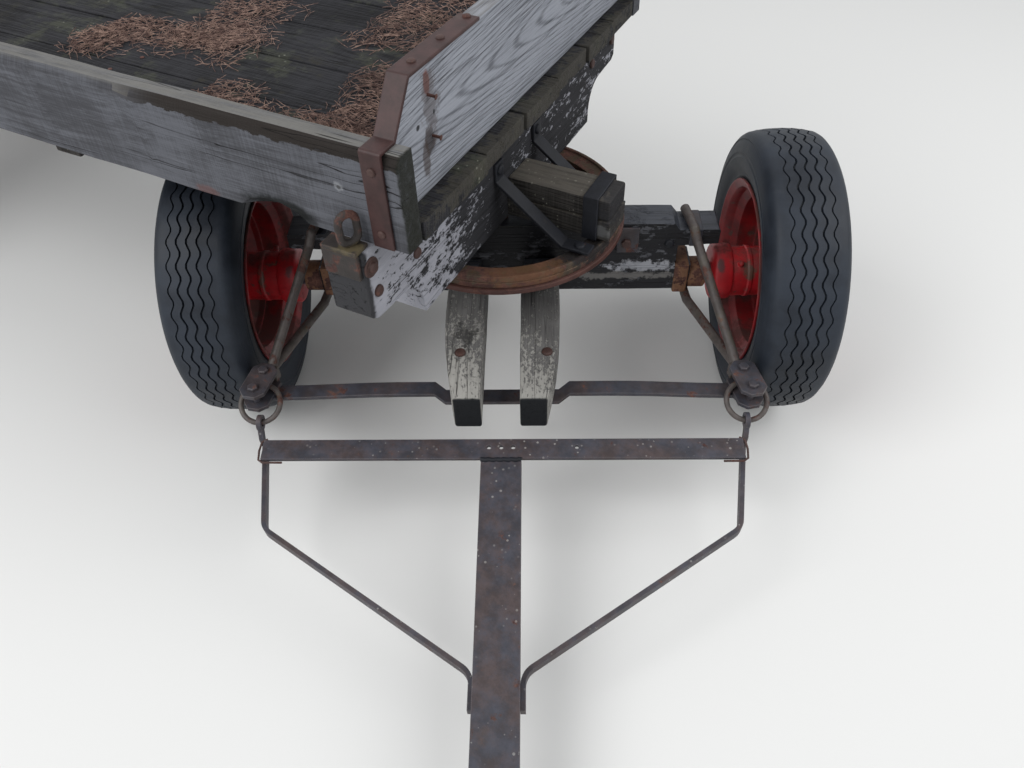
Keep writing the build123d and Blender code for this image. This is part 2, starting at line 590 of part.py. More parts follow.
# Hounds: two tapered timbers let through the front axle tree, with blocks that carry the lower ring
HOUND_ROOT = HOUND_INSIDE + HOUND_ROOT_WIDTH
HOUND_TIP = HOUND_INSIDE + HOUND_TIP_WIDTH
with BuildPart() as hounds:
    for hand in (1, -1):
        with BuildSketch(above(CARRIAGE, 0, 0, HOUND_BOTTOM)):
            with BuildLine():
                Polyline((150, hand * HOUND_ROOT), (HOUND_REAR, hand * HOUND_ROOT),
                         (HOUND_REAR, hand * HOUND_INSIDE), (HOUND_FRONT, hand * HOUND_INSIDE),
                         (HOUND_FRONT, hand * HOUND_TIP))
                ThreePointArc((HOUND_FRONT, hand * HOUND_TIP), (HOUND_FRONT - 140, hand * (HOUND_ROOT - 10)),
                              (150, hand * HOUND_ROOT))
            make_face()
        extrude(amount=HOUND_HEIGHT)
    with BuildSketch(ahead(CARRIAGE, 0, 0, TREE_BOTTOM)):
        Rectangle(TREE_LENGTH, TREE_TOP - TREE_BOTTOM, align=(Align.CENTER, Align.MIN))
    extrude(amount=TREE_DEPTH / 2, both=True, mode=Mode.SUBTRACT)
keep(hounds, "hounds")

# Knee-shaped: each leans on the axle beam and slopes out from the hound's top to the ring
with BuildPart() as hound_blocks:
    for hand in (1, -1):
        inner_side = hand * (HOUND_INSIDE + HOUND_BLOCK_INSET)
        with BuildSketch(beside(CARRIAGE, 0, inner_side, HOUND_BOTTOM + HOUND_HEIGHT)):
            with BuildLine():
                ring_height = LOWER_RING_Z - HOUND_BOTTOM - HOUND_HEIGHT
                Polyline((TREE_DEPTH / 2, 0), (HOUND_BLOCK_FOOT, 0), (HOUND_BLOCK_REACH, ring_height),
                         (HOUND_BLOCK_REACH - 56, ring_height), (TREE_DEPTH / 2, HOUND_BLOCK_BACK), close=True)
            make_face()
            mirror(about=Plane.YZ)
        extrude(amount=-hand * HOUND_BLOCK_WIDTH)
keep(hound_blocks, "hound_blocks")


def clevis_spot(along, hand):
    """A place on a clevis's middle line, seen from above, with its distance from the clevis's middle."""
    turn = radians(CLEVIS_TURN)
    return CLEVIS_X + along * cos(turn), hand * (CLEVIS_Y + along * sin(turn))


CLEVIS_BOLTS = [clevis_spot(step * CLEVIS_BOLT_SPACING / 2, hand) for step in (1, -1) for hand in (1, -1)]
SPLINTER_Z = HOUND_BOTTOM - SPLINTER_STEEL  # under the hounds
SPLINTER_END_Z = CLEVIS_Z - CLEVIS_GAP / 2 - CLEVIS_STEEL - SPLINTER_STEEL  # under the clevises
with BuildPart() as splinter_bar:
    with BuildSketch(ahead(CARRIAGE, SPLINTER_X)):
        with BuildLine():
            end_y = CLEVIS_Y - 8
            low_y = HOUND_ROOT + 20
            rise_y = low_y + 60
            Polyline((0, SPLINTER_Z), (low_y, SPLINTER_Z), (rise_y, SPLINTER_END_Z), (end_y, SPLINTER_END_Z),
                     (end_y, SPLINTER_END_Z + SPLINTER_STEEL), (rise_y, SPLINTER_END_Z + SPLINTER_STEEL),
                     (low_y, SPLINTER_Z + SPLINTER_STEEL), (0, SPLINTER_Z + SPLINTER_STEEL), close=True)
        make_face()
        mirror(about=Plane.YZ)
    extrude(amount=SPLINTER_WIDTH / 2, both=True)
    with BuildSketch(above(CARRIAGE, 0, 0, SPLINTER_Z)):
        with Locations(*CLEVIS_BOLTS):
            Circle(BOLT_HEAD_RADIUS + 1)
    extrude(amount=2 * CLEVIS_GAP, mode=Mode.SUBTRACT)
keep(splinter_bar, "splinter_bar")

with BuildPart() as clevis_plates:
    for plate_z in (CLEVIS_Z + CLEVIS_GAP / 2, CLEVIS_Z - CLEVIS_GAP / 2 - CLEVIS_STEEL):
        with BuildSketch(above(CARRIAGE, 0, 0, plate_z)):
            for hand in (1, -1):
                with Locations(clevis_spot(0, hand)):
                    Rectangle(CLEVIS_LENGTH, CLEVIS_WIDTH, rotation=hand * CLEVIS_TURN)
            chamfer(vertices(), CLEVIS_CHAMFER)
            with Locations(*CLEVIS_BOLTS):
                Circle(CLEVIS_BOLT_RADIUS, mode=Mode.SUBTRACT)
        extrude(amount=CLEVIS_STEEL)
keep(clevis_plates, "clevis_plates")

with BuildPart() as clevis_bolts:
    half_stack = CLEVIS_GAP / 2 + CLEVIS_STEEL
    with BuildSketch(above(CARRIAGE, 0, 0, CLEVIS_Z)):
        with Locations(*CLEVIS_BOLTS):
            Circle(CLEVIS_BOLT_RADIUS)
    extrude(amount=half_stack, both=True)
    for head_z in (CLEVIS_Z + half_stack, CLEVIS_Z - half_stack - BOLT_HEAD_HEIGHT):
        with BuildSketch(above(CARRIAGE, 0, 0, head_z)):
            with Locations(*CLEVIS_BOLTS):
                RegularPolygon(BOLT_HEAD_RADIUS, 6)
        extrude(amount=BOLT_HEAD_HEIGHT)
keep(clevis_bolts, "clevis_bolts")

with BuildPart() as link_rings:
    for hand in (1, -1):
        tilt = radians(LINK_TILT)
        ring_normal = CARRIAGE.x_dir * sin(tilt) + CARRIAGE.z_dir * cos(tilt)
        ring_middle = CARRIAGE.from_local_coords(Vector(LINK_CENTRE_X, hand * CLEVIS_Y, LINK_CENTRE_Z))
        along_wire = CARRIAGE.y_dir.cross(ring_normal)
        with BuildSketch(Plane(origin=ring_middle, x_dir=CARRIAGE.y_dir, z_dir=along_wire)):
            with Locations((LINK_RADIUS, 0)):
                Circle(LINK_ROD_RADIUS)
        revolve(axis=Axis(ring_middle, ring_normal))
keep(link_rings, "link_rings")

# Stay rods: from a block between each clevis's plates, over and under the front axle
ROD_BLOCK = (20, 42)
ROD_START = clevis_spot(-CLEVIS_LENGTH / 2, 1)
UPPER_ROD = [(*ROD_START, CLEVIS_Z), (62, 450, BEAM_TIP_TOP - 16), (46, 442, BEAM_TIP_TOP + ROD_RADIUS),
             (-34, 430, BEAM_TIP_TOP + ROD_RADIUS)]
LOWER_ROD = [(*ROD_START, CLEVIS_Z), (60, 448, TREE_BOTTOM - ROD_RADIUS), (-34, 440, TREE_BOTTOM - ROD_RADIUS)]
with BuildPart() as stay_rods:
    for hand in (1, -1):
        with BuildSketch(above(CARRIAGE, 0, 0, CLEVIS_Z - CLEVIS_GAP / 2)):
            with Locations(clevis_spot(ROD_BLOCK[0] / 2 - 4 - CLEVIS_LENGTH / 2, hand)):
                Rectangle(*ROD_BLOCK, rotation=hand * CLEVIS_TURN)
        extrude(amount=CLEVIS_GAP)
        for course in (UPPER_ROD, LOWER_ROD):
            points = [CARRIAGE.from_local_coords(Vector(x, hand * y, z)) for x, y, z in course]
            for start, finish in zip(points, points[1:]):
                with BuildSketch(Plane(origin=start, z_dir=finish - start)):
                    Circle(ROD_RADIUS)
                extrude(amount=(finish - start).length)
            with Locations(*points[1:-1]):
                Sphere(ROD_RADIUS)
keep(stay_rods, "stay_rods")


# Drawbar: crossbar, tongue, side irons and eye, all in the drawbar's own frame
CROSSBAR_Z = -CROSSBAR_BELOW - CROSSBAR_STEEL
with BuildPart() as crossbar:
    with BuildSketch(above(DRAWBAR, CROSSBAR_AHEAD, 0, CROSSBAR_Z)):
        Rectangle(CROSSBAR_WIDTH, 2 * CROSSBAR_HALF)
        with Locations(*[(-4, hole_y) for hole_y in CROSSBAR_HOLES]):
            Circle(CROSSBAR_HOLE_RADIUS, mode=Mode.SUBTRACT)
    extrude(amount=CROSSBAR_STEEL)
keep(crossbar, "crossbar")

TONGUE_START = CROSSBAR_AHEAD + CROSSBAR_WIDTH / 2
with BuildPart() as tongue:
    with BuildSketch(ahead(DRAWBAR, TONGUE_START, 0, -CROSSBAR_BELOW)):
        Rectangle(TONGUE_WIDTH, TONGUE_DEPTH, align=(Align.CENTER, Align.MAX))
        with Locations((0, -TONGUE_STEEL)):
            inside = TONGUE_WIDTH - 2 * TONGUE_STEEL
            Rectangle(inside, TONGUE_DEPTH, align=(Align.CENTER, Align.MAX), mode=Mode.SUBTRACT)
    extrude(amount=TONGUE_LENGTH - TONGUE_START)
keep(tongue, "tongue")

with BuildPart() as hitch_eye:
    eye_x = TONGUE_LENGTH + EYE_SHANK
    with BuildSketch(above(DRAWBAR, 0, 0, -EYE_BOTTOM)):
        with Locations((eye_x, 0)):
            Circle(EYE_RADIUS)
        with Locations(((TONGUE_LENGTH - 160 + eye_x) / 2, 0)):
            Rectangle(eye_x - TONGUE_LENGTH + 160, 50)
        with Locations((eye_x, 0)):
            Circle(EYE_HOLE_RADIUS, mode=Mode.SUBTRACT)
    extrude(amount=EYE_STEEL)
keep(hitch_eye, "hitch_eye")

HOOK_INSIDE = LINK_ROD_RADIUS + HOOK_CLEARANCE
HOOK_OUTSIDE = HOOK_INSIDE + HOOK_THICKNESS
IRON_REAR = CROSSBAR_AHEAD - CROSSBAR_WIDTH / 2 - 8
IRON_JOIN_Y = (TONGUE_WIDTH + SIDE_IRON_WIDTH) / 2
IRON_BOTTOM = CROSSBAR_Z - SIDE_IRON_HEIGHT
with BuildPart() as side_irons:
    for hand in (1, -1):
        with BuildLine(above(DRAWBAR, 0, 0, IRON_BOTTOM)):
            route = FilletPolyline(
                (IRON_REAR, hand * HOOK_Y), (SIDE_IRON_BEND[0], hand * SIDE_IRON_BEND[1]),
                (SIDE_IRON_JOIN, hand * IRON_JOIN_Y), (SIDE_IRON_END, hand * IRON_JOIN_Y), radius=40,
            )
        with BuildSketch(Plane(origin=route @ 0, x_dir=-DRAWBAR.z_dir.cross(route % 0), z_dir=route % 0)):
            Rectangle(SIDE_IRON_WIDTH, SIDE_IRON_HEIGHT, align=(Align.CENTER, Align.MIN))
        sweep(path=route)
        with BuildSketch(beside(DRAWBAR, 0, hand * HOOK_Y, 0)):
            with BuildLine():
                Polyline((4, -HOOK_INSIDE - 3), (6, -HOOK_OUTSIDE + 1), (IRON_REAR - 2, IRON_BOTTOM),
                         (IRON_REAR + 3, IRON_BOTTOM), (IRON_REAR + 3, CROSSBAR_Z), (HOOK_OUTSIDE - 2, -5),
                         (HOOK_INSIDE + 3, -3), close=True)
            make_face()
            Circle(HOOK_OUTSIDE)
            Circle(HOOK_INSIDE, mode=Mode.SUBTRACT)
        extrude(amount=SIDE_IRON_WIDTH / 2, both=True)
keep(side_irons, "side_irons")
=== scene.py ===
import random
from math import atan2, cos, pi, radians, sin

import bmesh
import bpy
from mathutils import Matrix, Vector


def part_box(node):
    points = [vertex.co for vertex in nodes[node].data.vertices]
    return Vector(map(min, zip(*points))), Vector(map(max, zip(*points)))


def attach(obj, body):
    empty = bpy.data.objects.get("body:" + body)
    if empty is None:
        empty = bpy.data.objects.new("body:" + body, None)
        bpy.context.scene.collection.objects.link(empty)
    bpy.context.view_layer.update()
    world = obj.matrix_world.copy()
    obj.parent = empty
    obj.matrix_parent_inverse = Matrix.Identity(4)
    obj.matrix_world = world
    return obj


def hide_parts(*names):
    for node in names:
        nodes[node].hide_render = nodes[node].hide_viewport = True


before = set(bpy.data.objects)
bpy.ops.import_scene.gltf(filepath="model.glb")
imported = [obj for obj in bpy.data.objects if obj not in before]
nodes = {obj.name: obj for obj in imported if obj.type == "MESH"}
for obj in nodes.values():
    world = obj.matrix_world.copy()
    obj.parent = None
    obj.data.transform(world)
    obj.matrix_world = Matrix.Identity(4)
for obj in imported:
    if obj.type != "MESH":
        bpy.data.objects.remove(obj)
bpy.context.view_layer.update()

scene = bpy.context.scene

# Places, in metres. The bed looks along +X. The front carriage is turned to the right about the kingpin, and the
# drawbar dips from the link rings to the ground.
STEERED, DIP = radians(-64), radians(6.453)
WHEELBASE = 2.3
PIVOT_X, PIVOT_Z = 0.4182, 0.257
AXLE_Z, WHEEL_Y = 0.335, 0.653
DECK_TOP, BEAM_TOP, BEAM_SIDE = 0.8373, 0.9753, 0.524


def at(x, y, z):
    return Matrix.Translation((x, y, z))


low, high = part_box("kingpin")
BED = at((low.x + high.x) / 2, (low.y + high.y) / 2, 0)
CARRIAGE = BED @ Matrix.Rotation(STEERED, 4, "Z")
DRAWBAR = CARRIAGE @ at(PIVOT_X, 0, PIVOT_Z) @ Matrix.Rotation(DIP, 4, "Y")
REAR = BED @ at(-WHEELBASE, 0, 0)


# Modelling
def leave():
    """Goes back from edit mode."""
    bpy.ops.object.mode_set(mode="OBJECT")


def let_go():
    if bpy.context.object and bpy.context.object.mode != "OBJECT":
        leave()
    bpy.ops.object.select_all(action="DESELECT")


def take(piece):
    """Makes the piece the only selected one."""
    let_go()
    piece.select_set(True)
    bpy.context.view_layer.objects.active = piece
    return piece


def fix_place():
    bpy.ops.object.transform_apply(location=True, rotation=True, scale=True)


def block(name, corner, opposite):
    """A box between two corners."""
    let_go()
    bpy.ops.mesh.primitive_cube_add(size=1, location=[(a + b) / 2 for a, b in zip(corner, opposite)])
    piece = bpy.context.object
    piece.name = name
    piece.scale = [abs(b - a) for a, b in zip(corner, opposite)]
    fix_place()
    return piece


def drum(name, middle, radius, length, along=(0, 0, 1), sides=24):
    """A round or many-sided bar about its middle."""
    let_go()
    turn = Vector(along).to_track_quat("Z", "Y").to_euler()
    bpy.ops.mesh.primitive_cylinder_add(vertices=sides, radius=radius, depth=length, location=middle, rotation=turn)
    piece = bpy.context.object
    piece.name = name
    fix_place()
    return piece


def pick(piece, kind, test):
    """Goes into edit mode with only those corners, edges or faces picked that pass the test."""
    take(piece)
    bpy.ops.object.mode_set(mode="EDIT")
    bpy.ops.mesh.select_mode(type=kind)
    bpy.ops.mesh.select_all(action="DESELECT")
    shape = bmesh.from_edit_mesh(piece.data)
    for part in {"VERT": shape.verts, "EDGE": shape.edges, "FACE": shape.faces}[kind]:
        part.select_set(bool(test(part)))
    shape.select_flush_mode()
    bmesh.update_edit_mesh(piece.data)


def nudge(piece, test, shift):
    """Moves the corners that pass the test."""
    pick(piece, "VERT", test)
    bpy.ops.transform.translate(value=shift)
    leave()


def chamfer(piece, kind, test, offset, segments=1):
    """Bevels the edges or faces that pass the test."""
    pick(piece, kind, test)
    bpy.ops.mesh.bevel(offset=offset, segments=segments, affect="EDGES")
    leave()


def divide(piece, axis, count):
    """Cuts the edges along an axis into equal lengths."""
    pick(piece, "EDGE", lambda edge: runs(edge, axis))
    bpy.ops.mesh.subdivide(number_cuts=count)
    leave()


def smooth(piece, degrees):
    """Smooths the faces that meet at less than an angle."""
    take(piece)
    bpy.ops.object.shade_smooth_by_angle(angle=radians(degrees))
    return piece


def scrap(*pieces):
    for piece in pieces:
        bpy.data.objects.remove(piece)


def runs(edge, axis):
    """Whether an edge lies along an axis."""
    way = (edge.verts[1].co - edge.verts[0].co).normalized()
    return abs(way[axis]) > 0.9


def outline(name, points):
    """A chain of edges, drawn corner by corner."""
    let_go()
    bpy.ops.mesh.primitive_plane_add(size=0.001, location=points[0])
    piece = bpy.context.object
    piece.name = name
    fix_place()
    bpy.ops.object.mode_set(mode="EDIT")
    bpy.ops.mesh.select_mode(type="VERT")
    bpy.ops.mesh.select_all(action="SELECT")
    bpy.ops.mesh.merge(type="CENTER")
    for here, there in zip(points, points[1:]):
        bpy.ops.mesh.extrude_region_move(TRANSFORM_OT_translate={"value": Vector(there) - Vector(here)})
    return piece


def weld():
    """Joins doubled corners, in edit mode."""
    bpy.ops.mesh.select_all(action="SELECT")
    bpy.ops.mesh.remove_doubles(threshold=0.00002)


def close_up():
    """Joins doubled corners and turns the faces outwards, in edit mode."""
    weld()
    bpy.ops.mesh.normals_make_consistent(inside=False)
    leave()


def lathe(name, points, count=96):
    """A turned piece: the points are (along the Y axis, out from it)."""
    piece = outline(name, [(0, y, r) for y, r in points])
    bpy.ops.mesh.select_all(action="SELECT")
    bpy.ops.mesh.spin(steps=count, angle=2 * pi, center=(0, 0, 0), axis=(0, 1, 0))
    close_up()
    return piece


def modify(piece, kind, **settings):
    """Adds a modifier and applies it."""
    take(piece)
    modifier = piece.modifiers.new(kind.title(), kind)
    for key, value in settings.items():
        setattr(modifier, key, value)
    bpy.ops.object.modifier_apply(modifier=modifier.name)
    return piece


def soften(piece, width):
    """Rounds the sharp edges and smooths the rest."""
    modify(piece, "BEVEL", width=width, segments=2, limit_method="ANGLE", angle_limit=radians(35))
    return modify(smooth(piece, 42), "WEIGHTED_NORMAL", keep_sharp=True)


def roughen(piece, depth, size):
    """Pushes the surface in and out by a soft noise."""
    noise = bpy.data.textures.new(piece.name + "_dents", "CLOUDS")
    noise.noise_scale = size
    noise.noise_depth = 3
    return modify(piece, "DISPLACE", texture=noise, strength=depth, mid_level=0.5, texture_coords="LOCAL")


def worn_copy(node_name, kind="worn"):
    """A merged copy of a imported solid, to be worked on."""
    piece = bpy.data.objects.new(f"{node_name}_{kind}", nodes[node_name].data.copy())
    scene.collection.objects.link(piece)
    piece.data.materials.clear()
    take(piece)
    bpy.ops.mesh.customdata_custom_splitnormals_clear()
    bpy.ops.object.mode_set(mode="EDIT")
    weld()
    bpy.ops.mesh.dissolve_limited(angle_limit=radians(0.5))
    leave()
    return piece


def merge_pieces(name, pieces):
    """Several pieces as one."""
    let_go()
    for piece in pieces:
        piece.select_set(True)
    bpy.context.view_layer.objects.active = pieces[0]
    bpy.ops.object.join()
    pieces[0].name = name
    return pieces[0]


def move(piece, place):
    take(piece)
    piece.matrix_world = place @ piece.matrix_world
    fix_place()
    return piece


def settle(piece, body, finish, place=None, stands_for=()):
    """Puts a finished piece in its place on a body and gives it its material."""
    if place is not None:
        move(piece, place)
    piece.data.materials.clear()
    piece.data.materials.append(finish)
    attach(piece, body)
    if stands_for:
        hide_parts(*stands_for)
    return piece


def fit(name, pieces, body, finish, stands_for=()):
    """Joins pieces that are made in a body's frame and puts them on it."""
    frames = {"bed": BED, "front_carriage": CARRIAGE, "drawbar": DRAWBAR}
    return settle(merge_pieces(name, pieces), body, finish, frames[body], stands_for)


def again(piece, name):
    """Another of the same shape, with its own mesh."""
    twin = piece.copy()
    twin.data = piece.data.copy()
    twin.name = name
    scene.collection.objects.link(twin)
    return twin


def saw(piece, place, axis, cuts):
    """Cuts a timber's skin across at places along one axis of a body, so that its long edges can wander."""
    take(piece)
    bpy.ops.object.mode_set(mode="EDIT")
    unit = Vector([float(i == axis) for i in range(3)])
    for where in cuts:
        bpy.ops.mesh.select_all(action="SELECT")
        bpy.ops.mesh.bisect(plane_co=place @ (unit * where), plane_no=place.to_3x3() @ unit)
    leave()
    return piece


def steps(start, end, pitch):
    """The middles of equal lengths between two ends."""
    count = max(1, round((end - start) / pitch))
    return [start + (end - start) * (i + 0.5) / count for i in range(count)]


def weather(piece, depth, size, width):
    """Wavy faces and worn arrises on an old timber."""
    return soften(roughen(piece, depth, size), width)


def plank(name, corner, opposite, pitch=0.09, depth=0.002, width=0.003):
    """A sawn board along X: its long edges are cut up, made to wander and worn round."""
    piece = block(name, corner, opposite)
    divide(piece, 0, max(1, int(abs(opposite[0] - corner[0]) / pitch)))
    return weather(piece, depth, 0.1, width)


def bolt_head(name, radius, height, sides, washer=0.0, crown=0.4):
    """A bolt's head on the plane Z = 0, with or without its washer. A round one is domed by a large crown."""
    piece = drum(name, (0, 0, height / 2 + (0.002 if washer else 0)), radius, height, sides=sides)
    chamfer(piece, "FACE", lambda face: face.normal.z > 0.9, height * crown, 3 if sides > 8 else 1)
    if washer:
        ring = drum(name + "_washer", (0, 0, 0.001), washer, 0.003, sides=20)
        chamfer(ring, "FACE", lambda face: face.normal.z > 0.9, 0.0008)
        piece = merge_pieces(name, [piece, ring])
    return smooth(piece, 40)


def stood(pattern, name, point, way, spin=0.0):
    """A copy of a bolt's head at a point, looking along a way."""
    turn = Vector(way).to_track_quat("Z", "Y").to_matrix().to_4x4()
    return move(again(pattern, name), at(*point) @ turn @ Matrix.Rotation(spin, 4, "Z"))


def rod(name, points, radius, closed=False):
    """A bent round bar through points."""
    outline(name, list(points) + ([points[0]] if closed else []))
    weld()
    leave()
    bpy.ops.object.convert(target="CURVE")
    bpy.context.object.data.bevel_depth = radius
    bpy.context.object.data.bevel_resolution = 2
    bpy.context.object.data.use_fill_caps = not closed
    bpy.ops.object.convert(target="MESH")
    bpy.ops.object.mode_set(mode="EDIT")
    close_up()
    return smooth(bpy.context.object, 50)


# Shader building
def feed(made, inputs):
    """Sets a node's inputs, or links them where the value comes from another node."""
    for key, value in inputs.items():
        if isinstance(value, bpy.types.NodeSocket):
            made.id_data.links.new(value, made.inputs[key])
        else:
            made.inputs[key].default_value = value


def node(kind, inputs, **settings):
    """A new node in the tree that its linked inputs come from."""
    tree = next(value.id_data for value in inputs.values() if isinstance(value, bpy.types.NodeSocket))
    made = tree.nodes.new("ShaderNode" + kind)
    for key, value in settings.items():
        setattr(made, key, value)
    feed(made, inputs)
    return made


def calc(operation, a, b=0.0):
    return node("Math", {0: a, 1: b}, operation=operation).outputs[0]


def plus(a, b):
    return calc("ADD", a, b)


def minus(a, b):
    return calc("SUBTRACT", a, b)


def times(a, b):
    return calc("MULTIPLY", a, b)


def vector(operation, a, b=(0, 0, 0), answer=0):
    return node("VectorMath", {0: a, 1: b}, operation=operation).outputs[answer]


def span(value, start, end, low=0.0, high=1.0):
    """Eases from low to high as the value goes from start to end."""
    inputs = {"Value": value, "From Min": start, "From Max": end, "To Min": low, "To Max": high}
    return node("MapRange", inputs, interpolation_type="SMOOTHSTEP").outputs["Result"]


def mix(amount, a, b, blend="MIX"):
    return node("Mix", {0: amount, 6: a, 7: b}, data_type="RGBA", blend_type=blend).outputs[2]


def layer(colour, mask, strength, tint):
    """Lays a tint over a colour where the mask is."""
    return mix(times(mask, strength), colour, (*tint, 1))


def noise(place, scale, detail=4.0, rough=0.5, stretch=None):
    if stretch:
        place = vector("MULTIPLY", place, stretch)
    inputs = {"Vector": place, "Scale": scale, "Detail": detail, "Roughness": rough}
    return node("TexNoise", inputs).outputs["Fac"]


def along(place, axis):
    """The coordinate along one axis."""
    return node("SeparateXYZ", {0: place}).outputs[axis]


def facing(near):
    """The way the surface looks, for the tree that another value is in."""
    return near.id_data.nodes.new("ShaderNodeNewGeometry").outputs["Normal"]


def total(*terms):
    """The sum of (value, weight) pairs."""
    answer = 0.0
    for value, weight in terms:
        answer = plus(times(value, weight), answer)
    return answer


def group(name, inputs, outputs):
    """A node group with its inputs (name: default) and outputs (name: kind). Returns it, its inputs and its end."""
    tree = bpy.data.node_groups.new(name, "ShaderNodeTree")
    for key, default in inputs.items():
        kind = "NodeSocketVector" if default is None or isinstance(default, tuple) else "NodeSocketFloat"
        socket = tree.interface.new_socket(key, in_out="INPUT", socket_type=kind)
        if default is not None:
            socket.default_value = default
    for key, kind in outputs.items():
        tree.interface.new_socket(key, in_out="OUTPUT", socket_type="NodeSocket" + kind)
    return tree, tree.nodes.new("NodeGroupInput").outputs, tree.nodes.new("NodeGroupOutput")


def grain_group():
    """Fibres, year rings, long cracks, patches and saw marks of a timber whose grain runs along X."""
    marks = dict.fromkeys(("Fibre", "Rings", "Cracks", "Patches", "Saw"), "Float")
    tree, start, end = group("timber grain", {"Vector": None, "Pith": 0.03, "Taper": 0.06, "Spacing": 0.008}, marks)
    place = start["Vector"]
    fine = noise(place, 1.0, 4, 0.6, (10, 480, 480))
    broad = noise(place, 1.0, 4, 0.6, (3, 110, 110))
    wander = times(minus(noise(place, 1.0, 3, 0.5, (2.2, 9, 9)), 0.5), 0.03)
    across = plus(along(place, "Y"), wander)
    deep = plus(along(place, "Z"), start["Pith"])
    out = calc("SQRT", total((times(across, across), 1.0), (times(deep, deep), 1.0)))
    grown = minus(out, times(along(place, "X"), start["Taper"]))
    turns = calc("DIVIDE", grown, start["Spacing"])
    ring = calc("FRACT", plus(turns, times(fine, 0.3)))
    crossing = calc("ABSOLUTE", minus(noise(place, 1.0, 2, 0.5, (1.6, 50, 50)), 0.5))
    where = span(noise(place, 1.0, 2, 0.5, (2.0, 18, 18)), 0.5, 0.6)
    feed(end, {
        "Fibre": span(total((fine, 0.55), (broad, 0.45)), 0.34, 0.66),
        "Rings": span(calc("ABSOLUTE", minus(ring, 0.5)), 0.0, 0.24),
        "Cracks": times(span(crossing, 0.014, 0.003), where),
        "Patches": span(noise(place, 6.0, 6, 0.62), 0.35, 0.68),
        "Saw": span(noise(place, 1.0, 3, 0.6, (330, 9, 9)), 0.35, 0.65),
    })
    return tree


def peel_group():
    """Old paint that comes off in flakes along the grain. Paint is 1 where it is left, Lip marks its broken edge."""
    tree, start, end = group("peeling paint", {"Vector": None, "Amount": 0.6, "Scale": 40.0},
                             {"Paint": "Float", "Lip": "Float"})
    place = start["Vector"]
    flakes = noise(place, start["Scale"], 10.0, 0.76, (0.6, 1, 1))
    streaks = noise(place, 1.0, 4, 0.6, (16, 170, 170))
    level = total((flakes, 0.6), (streaks, 0.16), (noise(place, 7.0, 4, 0.6), 0.24))
    cut = minus(level, span(start["Amount"], 0.0, 1.0, 0.66, 0.34))
    feed(end, {"Paint": span(cut, -0.004, 0.004), "Lip": span(calc("ABSOLUTE", cut), 0.012, 0.0)})
    return tree


def rust_group():
    """Rust: where it is, its colour and its pitted height."""
    tree, start, end = group("rust", {"Vector": None, "Amount": 0.5, "Scale": 20.0},
                             {"Rust": "Float", "Color": "Color", "Pits": "Float"})
    place = start["Vector"]
    blotch = noise(place, start["Scale"], 9.0, 0.68)
    cut = minus(blotch, span(start["Amount"], 0.0, 1.0, 0.74, 0.26))
    small = noise(place, 260.0, 5, 0.7)
    shade = total((small, 0.5), (noise(place, 28.0, 6, 0.65), 0.6))
    ramp = node("ValToRGB", {"Fac": shade})
    for at, colour in ((0.38, (0.022, 0.012, 0.011, 1)), (0.52, (0.068, 0.031, 0.026, 1)),
                       (0.64, (0.125, 0.058, 0.044, 1)), (0.8, (0.25, 0.125, 0.075, 1))):
        ramp.color_ramp.elements.new(at).color = colour
    for end_stop in (0, -1):
        ramp.color_ramp.elements.remove(ramp.color_ramp.elements[end_stop])
    feed(end, {"Rust": span(cut, -0.03, 0.05), "Color": ramp.outputs["Color"], "Pits": small})
    return tree


def edge_group():
    """Outer edges that are rubbed bright or bare, broken up by a noise, and the rounded normal itself."""
    tree, start, end = group("rubbed edges", {"Vector": None, "Radius": 0.004, "Amount": 0.5},
                             {"Edge": "Float", "Normal": "Vector"})
    rounded = node("Bevel", {"Radius": start["Radius"]}, samples=6).outputs[0]
    bend = minus(1.0, vector("DOT_PRODUCT", rounded, facing(rounded), "Value"))
    broken = plus(noise(start["Vector"], 70.0, 6, 0.7), start["Amount"])
    level = times(span(bend, 0.0, 0.12), broken)
    feed(end, {"Edge": span(level, 0.5, 0.85), "Normal": rounded})
    return tree


def grime_group():
    """What settles on the wagon: dust and moss on faces that look up, and pale specks of lichen."""
    tree, start, end = group("grime", {"Vector": None, "Dust": 0.5, "Specks": 0.3},
                             {"Dust": "Float", "Specks": "Float"})
    place = start["Vector"]
    level = plus(noise(place, 11.0, 8, 0.7), times(along(facing(place), "Z"), 0.12))
    cut = minus(level, span(start["Dust"], 0.0, 1.0, 0.8, 0.3))
    cells = node("TexVoronoi", {"Vector": place, "Scale": 110.0, "Randomness": 1.0})
    size = span(along(cells.outputs["Color"], "X"), 0.5, 1.0, 0.0, 0.34)
    dot = span(minus(size, cells.outputs["Distance"]), 0.0, 0.06)
    rare = minus(0.75, times(start["Specks"], 0.5))
    near = span(noise(place, 9.0, 4, 0.6), rare, 0.8)
    feed(end, {"Dust": span(cut, -0.06, 0.12), "Specks": times(dot, near)})
    return tree


def spot_group():
    """A ragged patch about a point, as wide as its size along each axis. It makes the stains and also a few patches
    of painted shade.
    """
    tree, start, end = group("stain", {"Vector": None, "Middle": (0, 0, 0), "Size": (0.05, 0.05, 0.05),
                                       "Ragged": 0.5}, {"StainAndShade": "Float"})
    away = vector("SUBTRACT", start["Vector"], start["Middle"])
    length = vector("LENGTH", vector("DIVIDE", away, start["Size"]), answer="Value")
    rag = times(minus(noise(start["Vector"], 45.0, 6, 0.7), 0.5), start["Ragged"])
    feed(end, {"StainAndShade": span(plus(length, times(rag, 3.0)), 1.0, 0.55)})
    return tree


GRAIN, PEEL, RUST, EDGES, GRIME, SPOT = (
    grain_group(), peel_group(), rust_group(), edge_group(), grime_group(), spot_group())


def use(shared, **inputs):
    """Places a shared group in a material and returns its outputs."""
    return node("Group", inputs, node_tree=shared).outputs


